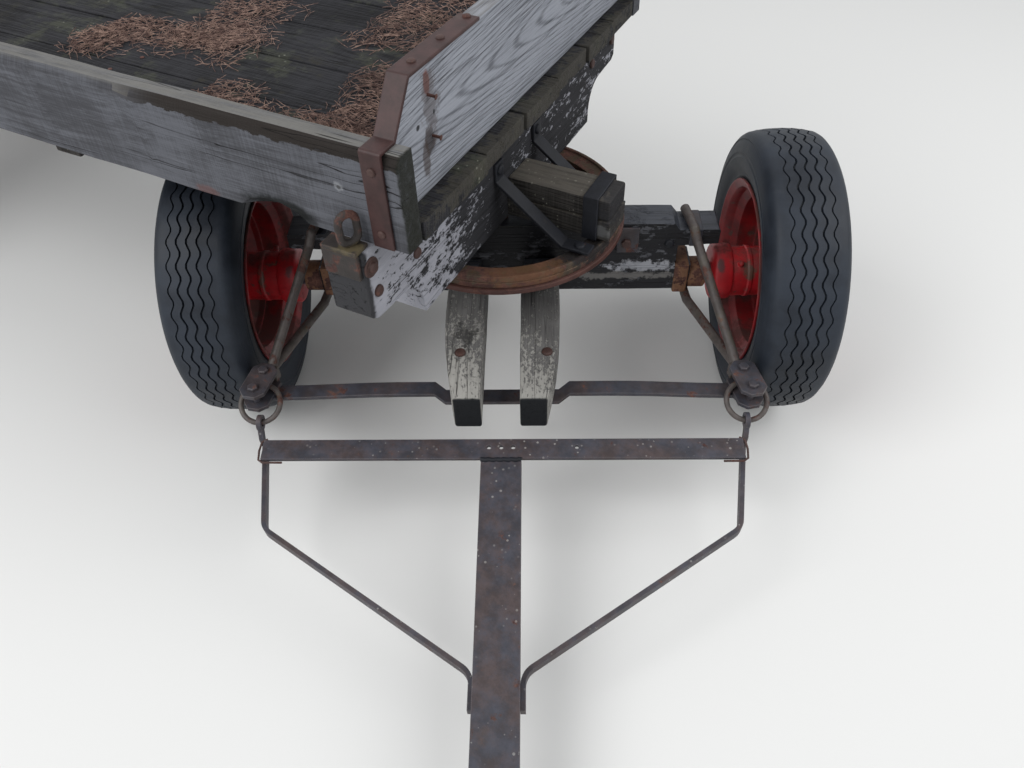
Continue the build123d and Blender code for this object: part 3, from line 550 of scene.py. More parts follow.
def material(name, place=None):
    """A new material, its shader and the coordinates along the piece: X runs along place's X axis."""
    made = bpy.data.materials.new(name)
    made.use_nodes = True
    where = made.node_tree.nodes.new("ShaderNodeTexCoord").outputs["Object"]
    if place is not None:
        inputs = {"Vector": where, "Location": place.to_translation(), "Rotation": place.to_euler()}
        where = node("Mapping", inputs, vector_type="TEXTURE").outputs[0]
    return made, made.node_tree.nodes["Principled BSDF"], where


def cover(shader, colour, rough, shine=0.5, height=None, depth=0.001, normal=None):
    """Gives a shader its colour, its roughness, its shine and its fine relief."""
    feed(shader, {"Base Color": colour, "Roughness": rough, "Specular IOR Level": shine})
    if height is not None:
        relief = node("Bump", {"Height": height, "Distance": depth})
        if normal is not None:
            feed(relief, {"Normal": normal})
        feed(shader, {"Normal": relief.outputs[0]})


def lay_stains_and_shade(colour, where, stains_and_shade):
    """Lays ragged stains, and a few patches of painted shade, over a colour. Each is (middle, size, tint) and may
    have a strength and a raggedness.
    """
    for middle, size, tint, *rest in stains_and_shade:
        strength, ragged = (*rest, *(0.8, 0.5)[len(rest):])
        mask = use(SPOT, Vector=where, Middle=middle, Size=size, Ragged=ragged)["StainAndShade"]
        colour = layer(colour, mask, strength, tint)
    return colour


def up_face_tone(colour, where, top):
    """Lays another tone over faces that look up, in streaks along the grain. top is (tint, strength)."""
    up = span(along(facing(where), "Z"), 0.3, 0.6)
    worn = times(up, span(noise(where, 1.0, 6, 0.7, (8, 90, 90)), 0.3, 0.6, 0.4, 1))
    return layer(colour, worn, top[1], top[0])


def old_timber(name, pale, dark, place, rings=0.2, cracks=0.9, dust=0.2, specks=0.2, speck_colour=(0.42, 0.43, 0.36),
               pith=0.03, taper=0.06, spacing=0.008, saw=0.15, patches=0.25, stains_and_shade=(), streaks=0.0, green=0.0,
               top=None, band=None):
    """Bare weathered wood: pale ridges, dark furrows, cracks, saw marks, moss and lichen. band is (height, tint): a
    dark chipped strip above that height on faces that look sideways."""
    made, shader, where = material(name, place)
    grain = use(GRAIN, Vector=where, Pith=pith, Taper=taper, Spacing=spacing)
    settled = use(GRIME, Vector=where, Dust=dust, Specks=specks)
    tone = total((grain["Fibre"], 1.0 - rings - patches - saw), (grain["Rings"], rings),
                 (grain["Patches"], patches), (grain["Saw"], saw))
    colour = mix(span(tone, 0.15, 0.8), (*dark, 1), (*pale, 1))
    if streaks:
        worn = span(noise(where, 1.0, 6, 0.75, (5, 60, 60)), 0.58, 0.68)
        colour = layer(colour, worn, streaks, [min(1, c * 1.9) for c in pale])
    if green:
        moss = span(noise(where, 9.0, 8, 0.72), 0.52, 0.66)
        colour = layer(colour, moss, green, (0.13, 0.14, 0.085))
    if top:
        colour = up_face_tone(colour, where, top)
    if band:
        height, tint = band
        level = total((along(where, "Z"), 1.0), (noise(where, 1.0, 6, 0.65, (22, 40, 40)), 0.036),
                      (grain["Fibre"], 0.003))
        side = span(calc("ABSOLUTE", along(facing(where), "Y")), 0.7, 0.82)
        front = span(along(where, "X"), -0.52, -0.36, 0.12, 1)
        colour = layer(colour, span(level, height, height + 0.002), times(side, front), tint)
    colour = layer(colour, grain["Cracks"], cracks, (0.008, 0.007, 0.007))
    colour = layer(colour, settled["Dust"], 0.75, (0.035, 0.033, 0.024))
    colour = layer(colour, settled["Specks"], 0.8, speck_colour)
    relief = total((grain["Fibre"], 0.4), (grain["Rings"], rings), (grain["Cracks"], -1.6),
                   (settled["Specks"], 0.3), (grain["Saw"], saw))
    colour = lay_stains_and_shade(colour, where, stains_and_shade)
    cover(shader, colour, span(grain["Fibre"], 0, 1, 0.95, 0.72), 0.18, relief, 0.0012)
    return made


def painted_timber(name, paint, wood_pale, wood_dark, place, amount=0.6, scale=40.0, dust=0.15, gloss=0.5,
                   thinner=None, stains_and_shade=(), specks=0.1, top=None):
    """Timber whose old paint peels off. thinner is (axis, from, to, less): along that axis the paint gives out."""
    made, shader, where = material(name, place)
    grain = use(GRAIN, Vector=where)
    left = amount
    if thinner:
        axis, begin, finish, less = thinner
        left = span(along(where, axis), begin, finish, amount, amount - less)
    peel = use(PEEL, Vector=where, Amount=left, Scale=scale)
    settled = use(GRIME, Vector=where, Dust=dust, Specks=specks)
    wood = mix(total((grain["Fibre"], 0.6), (grain["Patches"], 0.4)), (*wood_dark, 1), (*wood_pale, 1))
    faded = (*(c * 0.66 for c in paint), 1)
    coat = mix(total((grain["Patches"], 0.6), (grain["Fibre"], 0.4)), faded, (*paint, 1))
    colour = mix(peel["Paint"], wood, coat)
    if top:
        colour = up_face_tone(colour, where, top)
    colour = layer(colour, grain["Cracks"], 0.8, (0.01, 0.009, 0.009))
    colour = layer(colour, settled["Dust"], 0.6, (0.05, 0.045, 0.035))
    colour = layer(colour, settled["Specks"], 0.7, (0.4, 0.4, 0.36))
    relief = total((grain["Fibre"], 0.3), (peel["Paint"], 0.45), (peel["Lip"], 0.35), (grain["Cracks"], -1.4))
    colour = lay_stains_and_shade(colour, where, stains_and_shade)
    cover(shader, colour, span(peel["Paint"], 0, 1, 0.9, gloss), 0.25, relief, 0.0012)
    return made


def old_iron(name, paint, rust, place=None, scale=30.0, edge=0.5, gloss=0.45, specks=0.1, bare=(0.22, 0.2, 0.21),
             crust=0.5, moss=0.0, stains_and_shade=(), other=None):
    """Painted or black iron: rust in blotches, edges rubbed, grime on top."""
    made, shader, where = material(name, place)
    rusty = use(RUST, Vector=where, Amount=rust, Scale=scale)
    rubbed = use(EDGES, Vector=where, Radius=0.003, Amount=edge)
    settled = use(GRIME, Vector=where, Dust=0.15, Specks=specks)
    tint = noise(where, 30.0, 7, 0.68)
    coat = (*paint, 1)
    if other:
        coat = mix(span(noise(where, 14.0, 8, 0.72), 0.36, 0.64), coat, (*other, 1))
    shade = mix(span(tint, 0.32, 0.68), (0.72, 0.72, 0.72, 1), (1.28, 1.28, 1.28, 1))
    coat = mix(1.0, coat, shade, "MULTIPLY")
    colour = mix(rusty["Rust"], coat, rusty["Color"])
    colour = layer(colour, rubbed["Edge"], 0.6, bare)
    colour = layer(colour, settled["Dust"], 0.5, (0.06, 0.05, 0.042))
    if moss:
        grown = span(noise(where, 26.0, 8, 0.7), 0.5, 0.64)
        colour = layer(colour, grown, moss, (0.12, 0.11, 0.07))
    colour = layer(colour, settled["Specks"], 0.8, (0.4, 0.39, 0.37))
    relief = total((rusty["Pits"], crust), (rusty["Rust"], 0.25), (tint, crust * 0.8))
    cover(shader, lay_stains_and_shade(colour, where, stains_and_shade), span(rusty["Rust"], 0, 1, gloss, 0.85), 0.32,
          relief, 0.0008, rubbed["Normal"])
    return made


def rubber():
    """Blue-black tread rubber with dry dust on it."""
    made, shader, where = material("dusty rubber")
    settled = use(GRIME, Vector=where, Dust=0.3, Specks=0.0)
    patch = noise(where, 8.0, 7, 0.66)
    colour = mix(span(patch, 0.35, 0.66), (0.01, 0.013, 0.019, 1), (0.021, 0.027, 0.038, 1))
    colour = layer(colour, settled["Dust"], 0.3, (0.045, 0.051, 0.062))
    cover(shader, colour, span(patch, 0.3, 0.7, 0.46, 0.62), 0.28, noise(where, 380.0, 4, 0.6), 0.0003)
    return made


def wheel_paint(name, low, high, mud, rust, gloss, place=None, stains_and_shade=()):
    """Thick red paint with mud, chips and scrapes."""
    made, shader, where = material(name, place)
    rusty = use(RUST, Vector=where, Amount=rust, Scale=26.0)
    rubbed = use(EDGES, Vector=where, Radius=0.004, Amount=0.35)
    settled = use(GRIME, Vector=where, Dust=mud, Specks=0.05)
    fade = noise(where, 12.0, 7, 0.66)
    colour = mix(span(fade, 0.32, 0.68), (*low, 1), (*high, 1))
    colour = mix(rusty["Rust"], colour, rusty["Color"])
    colour = layer(colour, rubbed["Edge"], 0.5, [min(1, c * 1.6 + 0.02) for c in high])
    colour = layer(colour, settled["Dust"], 0.75, (0.055, 0.032, 0.026))
    relief = total((rusty["Pits"], 0.25), (fade, 0.3), (settled["Dust"], 0.3))
    cover(shader, lay_stains_and_shade(colour, where, stains_and_shade), span(settled["Dust"], 0, 1, gloss, 0.85), 0.5,
          relief, 0.0008, rubbed["Normal"])
    return made


def fallen_needles():
    """Dry conifer needles, each a little paler or browner than the next."""
    made, shader, where = material("fallen needles")
    single = noise(where, 75.0, 3, 0.6)
    drift = span(noise(where, 9.0, 5, 0.6), 0.45, 0.7, 0.0, 0.6)
    colour = mix(span(single, 0.38, 0.64), (0.085, 0.046, 0.038, 1), (0.3, 0.195, 0.155, 1))
    cover(shader, mix(drift, colour, (0.06, 0.032, 0.028, 1)), span(single, 0, 1, 0.9, 0.7))
    return made


# Finishes
SIDEWAYS = Matrix(((0, 0, 1, 0), (1, 0, 0, 0), (0, 1, 0, 0), (0, 0, 0, 1)))
ALONG_BED = BED @ at(0, 0, 0.8)
ACROSS_BED = BED @ at(0, 0, 0.9) @ SIDEWAYS
ALONG_CARRIAGE = CARRIAGE @ at(0, 0, 0.3)
ACROSS_CARRIAGE = CARRIAGE @ at(0, 0, 0.4) @ SIDEWAYS

deck_wood = old_timber(
    "dark deck planks", (0.027, 0.027, 0.031), (0.008, 0.008, 0.009), ALONG_BED, dust=0.2, specks=0.35, green=0.22,
    patches=0.3,
    stains_and_shade=[
        ((0.11, 0.0, 0.03), (0.024, 0.7, 0.06), (0.062, 0.057, 0.046), 0.6, 1.3)])
beam_wood = old_timber(
    "grey side beams", (0.108, 0.112, 0.128), (0.056, 0.057, 0.064), ALONG_BED, rings=0.08, specks=0.1, saw=0.17,
    patches=0.4, streaks=0.14, dust=0.05, top=((0.165, 0.16, 0.148), 0.8), band=(0.1725, (0.024, 0.02, 0.018)),
    stains_and_shade=[
        # The first stain is painted shade: a near-black patch on the outer face for the dark inside of the worn
        # hollow at the beam's lower edge.
        ((-0.15, -0.524, 0.01), (0.1, 0.06, 0.036), (0.007, 0.008, 0.008), 0.97, 0.2),
        ((-0.318, -0.524, 0.004), (0.03, 0.02, 0.014), (0.12, 0.045, 0.035), 0.5),
        # This stain darkens the near beam's front end: partly its darker end grain, partly painted shade on that end
        # face.
        ((0.122, -0.5, 0.09), (0.016, 0.2, 0.4), (0.014, 0.015, 0.011), 0.92, 0.3),
        ((-0.011, -0.524, 0.096), (0.013, 0.02, 0.012), (0.27, 0.28, 0.3), 0.6, 0.8),
        ((-0.01, -0.524, 0.096), (0.006, 0.02, 0.005), (0.05, 0.05, 0.05), 0.8, 0.5)])
board_wood = old_timber(
    "silvered front board", (0.285, 0.3, 0.338), (0.118, 0.124, 0.142), BED @ at(0.062, -0.12, 0.955) @ SIDEWAYS,
    rings=0.34, cracks=0.3, dust=0.0, specks=0.0, saw=0.03, patches=0.14, pith=0.02, taper=0.075, spacing=0.0078,
    top=((0.16, 0.155, 0.15), 0.6),
    stains_and_shade=[
        ((-0.255, 0.068, 0.018), (0.011, 0.026, 0.02), (0.16, 0.045, 0.03), 0.85),
        ((-0.262, -0.03, 0.018), (0.018, 0.034, 0.02), (0.03, 0.022, 0.02), 0.8),
        ((-0.278, -0.055, 0.018), (0.014, 0.04, 0.02), (0.05, 0.035, 0.03), 0.7),
        ((-0.25, 0.03, 0.018), (0.03, 0.07, 0.02), (0.085, 0.07, 0.07), 0.55, 0.9),
        ((-0.293, 0.008, 0.018), (0.006, 0.006, 0.02), (0.01, 0.01, 0.01), 0.9),
        ((-0.242, 0.012, 0.018), (0.005, 0.007, 0.02), (0.01, 0.01, 0.01), 0.9)])
rear_board_wood = old_timber(
    "silvered rear board", (0.315, 0.325, 0.355), (0.135, 0.14, 0.155), BED @ at(-2.84, 0.1, 0.94) @ SIDEWAYS,
    rings=0.3, dust=0.05, specks=0.0, saw=0.04, patches=0.14, pith=0.025, taper=0.06, spacing=0.0078,
    top=((0.15, 0.145, 0.14), 0.6))
bolster_wood = painted_timber(
    "peeling white bolster", (0.37, 0.375, 0.42), (0.04, 0.04, 0.045), (0.01, 0.01, 0.012), ACROSS_BED, amount=0.62,
    scale=62.0, thinner=(0, -0.42, -0.12, 0.24), gloss=0.6, specks=0.0,
    stains_and_shade=[
        ((-0.569, -0.13, 0.0), (0.023, 0.3, 0.5), (0.012, 0.012, 0.014), 0.95, 0.35),
        ((-0.5, -0.068, 0.0), (0.09, 0.03, 0.06), (0.075, 0.06, 0.034), 0.75, 0.8),
        ((-0.33, -0.13, 0.042), (0.1, 0.024, 0.05), (0.012, 0.012, 0.014), 0.9, 0.9)])
frame_wood = old_timber(
    "dark frame timber", (0.06, 0.055, 0.051), (0.013, 0.012, 0.011), ALONG_BED, specks=1.0, patches=0.3,
    speck_colour=(0.32, 0.31, 0.26), top=((0.125, 0.113, 0.096), 0.75),
    stains_and_shade=[
        ((0.275, 0.0, -0.175), (0.048, 0.08, 0.06), (0.024, 0.024, 0.027), 0.85, 0.5),
        ((0.262, -0.046, -0.226), (0.028, 0.014, 0.018), (0.12, 0.123, 0.125), 0.7, 0.5)])
hound_wood = painted_timber(
    "flecked hounds", (0.37, 0.36, 0.335), (0.205, 0.2, 0.195), (0.07, 0.067, 0.066), ALONG_CARRIAGE, amount=0.36,
    scale=120.0, dust=0.0, gloss=0.75, thinner=(0, 0.12, 0.42, -0.2), specks=0.0,
    stains_and_shade=[
        ((0.442, 0.0, 0.0), (0.0112, 0.9, 0.6), (0.007, 0.008, 0.01), 1.0, 0.1),
        # This stain is a painted shadow: the turntable ring's shadow on the hound's top beneath it.
        ((0.24, -0.085, 0.05), (0.036, 0.022, 0.03), (0.03, 0.029, 0.028), 0.7, 2.4)])
axle_wood = painted_timber(
    "worn black axle", (0.012, 0.012, 0.015), (0.17, 0.175, 0.195), (0.04, 0.04, 0.045), ACROSS_CARRIAGE, amount=0.6,
    scale=30.0, gloss=0.42, top=((0.06, 0.066, 0.082), 0.8),
    stains_and_shade=[
        ((0.335, -0.016, 0.038), (0.1, 0.016, 0.03), (0.42, 0.43, 0.47), 0.85, 1.3),
        ((0.3, -0.045, 0.038), (0.17, 0.012, 0.03), (0.24, 0.23, 0.22), 0.6, 1.3),
        ((-0.335, -0.016, 0.038), (0.1, 0.014, 0.03), (0.42, 0.43, 0.47), 0.8, 1.3),
        ((0.391, 0.049, 0.038), (0.016, 0.008, 0.02), (0.004, 0.004, 0.004), 1.0, 0.3)])
rusted_iron = old_iron(
    "brown rusted iron", (0.056, 0.03, 0.026), 0.4, scale=22.0, edge=0.25, bare=(0.13, 0.075, 0.062), crust=0.4,
    gloss=0.6)
strap_iron = old_iron(
    "maroon strap iron", (0.04, 0.018, 0.017), 0.2, scale=18.0, edge=0.3, bare=(0.075, 0.038, 0.033), crust=0.2,
    gloss=0.5)
ring_rust = old_iron(
    "olive ring rust", (0.075, 0.052, 0.034), 0.55, BED @ at(0, 0, 0.5), edge=0.55, bare=(0.24, 0.17, 0.11),
    crust=0.8, gloss=0.6,
    stains_and_shade=[
        ((0.235, -0.075, 0.05), (0.09, 0.1, 0.05), (0.01, 0.01, 0.011), 0.9, 0.9),
        ((0.16, -0.2, 0.05), (0.11, 0.08, 0.05), (0.17, 0.08, 0.032), 0.45, 0.9)])
red_rust = old_iron(
    "red ring rust", (0.066, 0.028, 0.023), 0.4, scale=24.0, edge=0.3, bare=(0.2, 0.1, 0.07), gloss=0.6)
clamp_rust = old_iron(
    "orange clamp rust", (0.2, 0.1, 0.055), 0.5, edge=0.3, bare=(0.28, 0.17, 0.1), gloss=0.7)
black_iron = old_iron(
    "worn blue-black iron", (0.04, 0.043, 0.056), 0.34, edge=0.55, bare=(0.15, 0.13, 0.13), specks=0.2,
    other=(0.05, 0.04, 0.042))
brace_iron = old_iron(
    "black brace iron", (0.008, 0.009, 0.013), 0.22, edge=0.35, bare=(0.05, 0.053, 0.065), gloss=0.62)
loop_iron = old_iron(
    "crusted loop iron", (0.03, 0.025, 0.023), 0.42, BED, edge=0.4, bare=(0.14, 0.09, 0.06), crust=0.8, gloss=0.6,
    stains_and_shade=[
        ((0.0155, -0.556, 0.803), (0.034, 0.022, 0.012), (0.11, 0.088, 0.046), 0.75, 0.8)])
rod_iron = old_iron(
    "mauve rod iron", (0.078, 0.066, 0.062), 0.42, scale=34.0, edge=0.2, specks=0.3, moss=0.25, gloss=0.45,
    bare=(0.16, 0.14, 0.13))
drawbar_iron = old_iron(
    "slate drawbar iron", (0.044, 0.045, 0.058), 0.3, scale=22.0, specks=0.75, edge=0.6, bare=(0.16, 0.14, 0.15),
    other=(0.06, 0.044, 0.044), gloss=0.5)
rubber_black = rubber()
rim_paint = wheel_paint("muddy red rims", (0.1, 0.006, 0.008), (0.27, 0.008, 0.011), 0.52, 0.34, 0.45)
hub_paint = wheel_paint(
    "bright red hubs", (0.26, 0.006, 0.01), (0.46, 0.01, 0.016), 0.4, 0.3, 0.42, CARRIAGE,
    [
        ((0.045, 0.52, 0.385), (0.02, 0.012, 0.03), (0.03, 0.026, 0.028), 0.8, 0.9),
        ((0.045, 0.59, 0.372), (0.03, 0.016, 0.03), (0.06, 0.048, 0.032), 0.85, 0.9),
        ((0.045, -0.52, 0.385), (0.018, 0.012, 0.026), (0.03, 0.026, 0.028), 0.7, 0.9),
        ((0.04, -0.592, 0.36), (0.03, 0.014, 0.03), (0.06, 0.052, 0.036), 0.85, 0.9)])
needle_brown = fallen_needles()

# Wheels: modelled about the origin with the axle along Y, outer side towards +Y, then set down four times
WHEELS = [(f"{end}_{side}", place, hand) for end, place in (("front", CARRIAGE), ("rear", REAR))
          for side, hand in (("left", 1), ("right", -1))]
PITCHES, STATIONS = 40, 6  # the zigzag's repeats round the tyre, and the steps in each
NUT_CIRCLE, DISC_FACE = 0.07, Vector((0, 0.05, 0))
GROOVES = [(-0.044, 0.0017, 0.005), *((y, 0.0024, 0.007) for y in (-0.022, 0.0, 0.022)), (0.044, 0.0017, 0.005)]


def tread_radius(y):
    return 0.335 - 0.007 * (y / 0.065) ** 2


def tyre_shape():
    """Ribbed sidewalls and a tread of zigzag grooves."""
    side = [
        (0.072, 0.2058), (0.0745, 0.214), (0.0765, 0.2235), (0.0795, 0.2285), (0.079, 0.2325), (0.083, 0.24),
        (0.0873, 0.252), (0.0893, 0.264), (0.09, 0.2715), (0.0886, 0.2735), (0.0888, 0.281), (0.09, 0.283),
        (0.0894, 0.287), (0.0872, 0.2965), (0.0846, 0.305), (0.0812, 0.3105), (0.0822, 0.313), (0.0785, 0.3185),
        (0.0735, 0.324), (0.066, 0.3281), (0.058, tread_radius(0.058))]
    tread = []
    for groove, half, deep in GROOVES:
        top, bottom = tread_radius(groove), tread_radius(groove) - deep
        tread += [(groove + half * share, r) for share, r in ((-1, top), (-0.7, bottom), (0.7, bottom), (1, top))]
    inner = [(-0.056, 0.2039), (-0.077, 0.264), (-0.056, 0.315), (0.056, 0.315), (0.077, 0.264), (0.056, 0.2039),
             (0.072, 0.2058)]
    profile = side + tread[::-1] + [(-y, r) for y, r in reversed(side)] + inner
    piece = lathe("tyre_pattern", profile, PITCHES * STATIONS)

    def station(corner):
        return round(atan2(corner.co.z, corner.co.x) / (2 * pi / PITCHES / STATIONS)) % STATIONS

    for crest, push in ((1, 0.0042), (4, -0.0042)):
        nudge(piece, lambda corner: abs(corner.co.y) < 0.049 and corner.co.xz.length > 0.32
              and station(corner) in (crest, crest + 1), (0, push, 0))
    return smooth(piece, 38)


def rim_shape():
    """A pressed steel rim with rolled flanges, a well and a dished disc."""
    flange = [(0.084, 0.2185), (0.0846, 0.2205), (0.083, 0.222), (0.0785, 0.2215), (0.0765, 0.219), (0.0745, 0.2075),
              (0.072, 0.2056), (0.052, 0.2022)]
    well = [(0.04, 0.2015), (0.028, 0.1845), (-0.038, 0.1845), (-0.051, 0.2015)]
    bead = [(0.0795, 0.214), (0.0772, 0.204), (0.0745, 0.2015)]
    inside = [(-0.055, 0.1982), (-0.0425, 0.18), (0.03, 0.18), (0.043, 0.1982)]
    outside = flange + well + [(-y, r) for y, r in reversed(flange[:-1])]
    band = lathe("rim_band", outside + [(-y, r) for y, r in bead] + inside + bead[::-1] + flange[:1])
    disc = lathe("rim_disc", [
        (0.003, 0.1803), (0.025, 0.1803), (0.03, 0.17), (0.062, 0.119), (0.061, 0.108), (0.051, 0.09),
        (0.05, 0.086), (0.05, 0.047), (0.044, 0.047), (0.044, 0.088), (0.054, 0.108), (0.055, 0.116),
        (0.024, 0.166), (0.018, 0.173), (0.003, 0.1745), (0.003, 0.1803)], 72)
    return smooth(merge_pieces("rim_pattern", [band, disc]), 40)


def hub_shape():
    """A hub with a drum on its inner side, a cap on its outer side, six nuts and a grease plug."""
    turned = lathe("hub_body", [
        (0.09, 0.0), (0.09, 0.0222), (-0.148, 0.0222), (-0.148, 0.057), (-0.1465, 0.0635), (-0.142, 0.0675),
        (-0.138, 0.068), (-0.107, 0.068), (-0.103, 0.0665), (-0.102, 0.0612), (-0.066, 0.0605), (-0.064, 0.0625),
        (-0.056, 0.0625), (-0.054, 0.06), (0.028, 0.06), (0.034, 0.064), (0.036, 0.07), (0.036, 0.0825),
        (0.0375, 0.0845), (0.0425, 0.0845), (0.044, 0.0825), (0.044, 0.048), (0.058, 0.0385), (0.062, 0.0345),
        (0.094, 0.0335), (0.101, 0.029), (0.104, 0.021), (0.104, 0.0)], 64)
    parts = [turned]
    nut = bolt_head("nut", 0.0125, 0.013, 6)
    stud = bolt_head("stud", 0.0065, 0.019, 12, crown=0.15)
    for i in range(6):
        way = Vector((cos(i * pi / 3), 0, sin(i * pi / 3)))
        for pattern in (nut, stud):
            parts.append(stood(pattern, pattern.name + str(i), way * NUT_CIRCLE + DISC_FACE, (0, 1, 0), i * 0.7))
    parts.append(stood(stud, "plug", (0.6 * 0.055, -0.085, 0.8 * 0.055), (0.6, 0, 0.8)))
    scrap(nut, stud)
    return smooth(merge_pieces("hub_pattern", parts), 40)


for pattern, part, finish, slot in (
        (tyre_shape(), "tyre", rubber_black, "tyre"), (rim_shape(), "rim", rim_paint, "wheel_red"),
        (hub_shape(), "hub", hub_paint, "wheel_red")):
    for name, frame_place, hand in WHEELS:
        seat = frame_place @ at(0, hand * WHEEL_Y, AXLE_Z)
        if hand < 0:
            seat = seat @ Matrix.Rotation(pi, 4, "Z")
        settle(again(pattern, f"{name}_{part}_turned"), f"{name}_wheel", finish, seat, [f"{name}_{part}"])
    scrap(pattern)

# Old timbers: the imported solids, sawn up and worn
for name, finish, pitch, depth in (("front_board", board_wood, 0.06, 0.0025),
                                   ("rear_board", rear_board_wood, 0.08, 0.003)):
    board = saw(worn_copy(name), BED, 1, steps(-0.48, 0.48, pitch))
    settle(weather(board, depth, 0.1, 0.004), "bed", finish, None, [name])

side_beams = saw(worn_copy("side_beams"), BED, 0, steps(-1.3, 0.11, 0.04) + steps(-2.89, -1.3, 0.1))


def near_arris(corner, below=0.0):
    """Whether a corner lies on a beam's outer face, that far below its top."""
    outside = abs(corner.co.y - BED.translation.y) - BEAM_SIDE
    return abs(corner.co.z - BEAM_TOP + below) < 0.0004 and abs(outside) < 0.0004


ARRIS = 0.009
chamfer(side_beams, "EDGE", lambda edge: runs(edge, 0) and all(near_arris(c) for c in edge.verts), ARRIS)
pick(side_beams, "VERT", lambda corner: near_arris(corner, ARRIS))
bpy.ops.transform.translate(value=(0, 0, -0.006))
bpy.ops.transform.vertex_random(offset=0.003, uniform=1.0, normal=0.0, seed=4)
leave()
settle(weather(side_beams, 0.003, 0.14, 0.003), "bed", beam_wood, None, ["side_beams"])

planks = []
PLANK_EDGES = (-0.484, -0.255, -0.095, 0.062, 0.214, 0.358, 0.484)
PLANK_ENDS = (0.117, 0.112, 0.116, 0.109, 0.114, 0.111)
for i, (right, left, front) in enumerate(zip(PLANK_EDGES, PLANK_EDGES[1:], PLANK_ENDS)):
    start = (-2.9 + 0.006 * (i % 3), right + 0.002, 0.7993)
    planks.append(plank(f"plank_{i}", start, (front, left - 0.002, DECK_TOP - 0.001 * (i % 2))))
fit("deck_planks_worn", planks, "bed", deck_wood, ["deck_planks"])

for name, axis, cuts, width, finish in (("front_bolster", 1, steps(-0.56, 0.56, 0.06), 0.005, bolster_wood),
                                        ("rear_bolster", 1, steps(-0.56, 0.56, 0.09), 0.005, bolster_wood),
                                        ("middle_bearers", 1, steps(-0.47, 0.47, 0.12), 0.004, frame_wood),
                                        ("sills", 0, steps(-2.25, -0.05, 0.2), 0.004, frame_wood)):
    slot = "bolster_wood" if finish is bolster_wood else "frame_wood"
    settle(weather(saw(worn_copy(name), BED, axis, cuts), 0.003, 0.12, width), "bed", finish, None, [name])

layers = [plank("lower_layer", (-0.283, -0.046, 0.5495), (0.283, 0.046, 0.5983), 0.07, 0.003, 0.005),
          plank("upper_front", (0.0425, -0.0445, 0.6), (0.2805, 0.045, 0.6485), 0.07, 0.003, 0.006),
          plank("upper_rear", (-0.281, -0.0445, 0.6), (-0.0425, 0.045, 0.6485), 0.07, 0.003, 0.006)]
fit("ring_timber_layers", layers, "bed", frame_wood, ["ring_timber"])

hounds = saw(worn_copy("hounds"), CARRIAGE, 0, steps(-0.28, 0.43, 0.05))
settle(weather(hounds, 0.0035, 0.09, 0.005), "front_carriage", hound_wood, None, ["hounds"])
knees = weather(worn_copy("hound_blocks"), 0.002, 0.1, 0.004)
settle(knees, "front_carriage", axle_wood, None, ["hound_blocks"])
for end, place, body in (("front", CARRIAGE, "front_carriage"), ("rear", REAR, "bed")):
    for name in (f"{end}_axle_beam", f"{end}_axle_tree"):
        piece = saw(worn_copy(name), place, 1, steps(-0.45, 0.45, 0.06))
        settle(weather(piece, 0.003, 0.08, 0.005), body, axle_wood, None, [name])

# Turntable rings
UPRIGHT = Matrix.Rotation(pi / 2, 4, "X")
upper = lathe("upper_ring_rolled", [
    (0.5195, 0.236), (0.5195, 0.2755), (0.5205, 0.2768), (0.5325, 0.277), (0.5335, 0.2748), (0.5352, 0.2748),
    (0.5362, 0.277), (0.547, 0.2769), (0.549, 0.2752), (0.5492, 0.2725), (0.5486, 0.269), (0.544, 0.2668),
    (0.5432, 0.264), (0.5432, 0.24), (0.542, 0.236), (0.5195, 0.236)], 144)
lower = lathe("lower_ring_rolled", [
    (0.5052, 0.232), (0.5052, 0.28), (0.5068, 0.2826), (0.51, 0.283), (0.515, 0.283), (0.518, 0.2822),
    (0.5188, 0.2795), (0.5188, 0.2325), (0.5175, 0.2315), (0.506, 0.2315), (0.5052, 0.232)], 144)
for ring, place, body, finish, name in ((upper, BED, "bed", ring_rust, "upper_ring"),
                                        (lower, CARRIAGE, "front_carriage", red_rust, "lower_ring")):
    settle(smooth(ring, 45), body, finish, place @ UPRIGHT, [name])

# Flat irons
for name, finish, slot in (("corner_straps", strap_iron, "rusted_iron"), ("ring_braces", brace_iron, "black_iron"),
                           ("ring_strap", brace_iron, "rusted_iron")):
    settle(soften(worn_copy(name), 0.0014), "bed", finish, None, [name])

# The splinter bar is bent by use: set back beside the hounds and cranked down under them
splinter = move(worn_copy("splinter_bar", "bent"), CARRIAGE.inverted())
saw(splinter, Matrix(), 1, [hand * y for hand in (-1, 1) for y in (0.24, 0.29, 0.34, 0.39, 0.44)])
low_crank, high_crank = sorted({round(abs(c.co.y), 3) for c in splinter.data.vertices if 0.1 < abs(c.co.y) < 0.239})
for near, goal in ((low_crank, 0.128), (high_crank, 0.152)):
    for hand in (-1, 1):
        nudge(splinter, lambda c: abs(c.co.y - hand * near) < 0.003, (0, hand * (goal - near), 0))
for start, end, back in ((0.14, 0.25, 0.012), (0.25, 0.3, 0.011), (0.3, 0.35, 0.009), (0.35, 0.4, 0.006),
                         (0.4, 0.45, 0.003)):
    nudge(splinter, lambda c: start < abs(c.co.y) < end, (-back, 0, 0))
pick(splinter, "VERT", lambda c: True)
bpy.ops.transform.resize(value=(0.84, 1, 1), center_override=(0.345, 0, 0))
leave()
splinter = roughen(soften(splinter, 0.0016), 0.0012, 0.03)
settle(splinter, "front_carriage", black_iron, CARRIAGE, ["splinter_bar"])

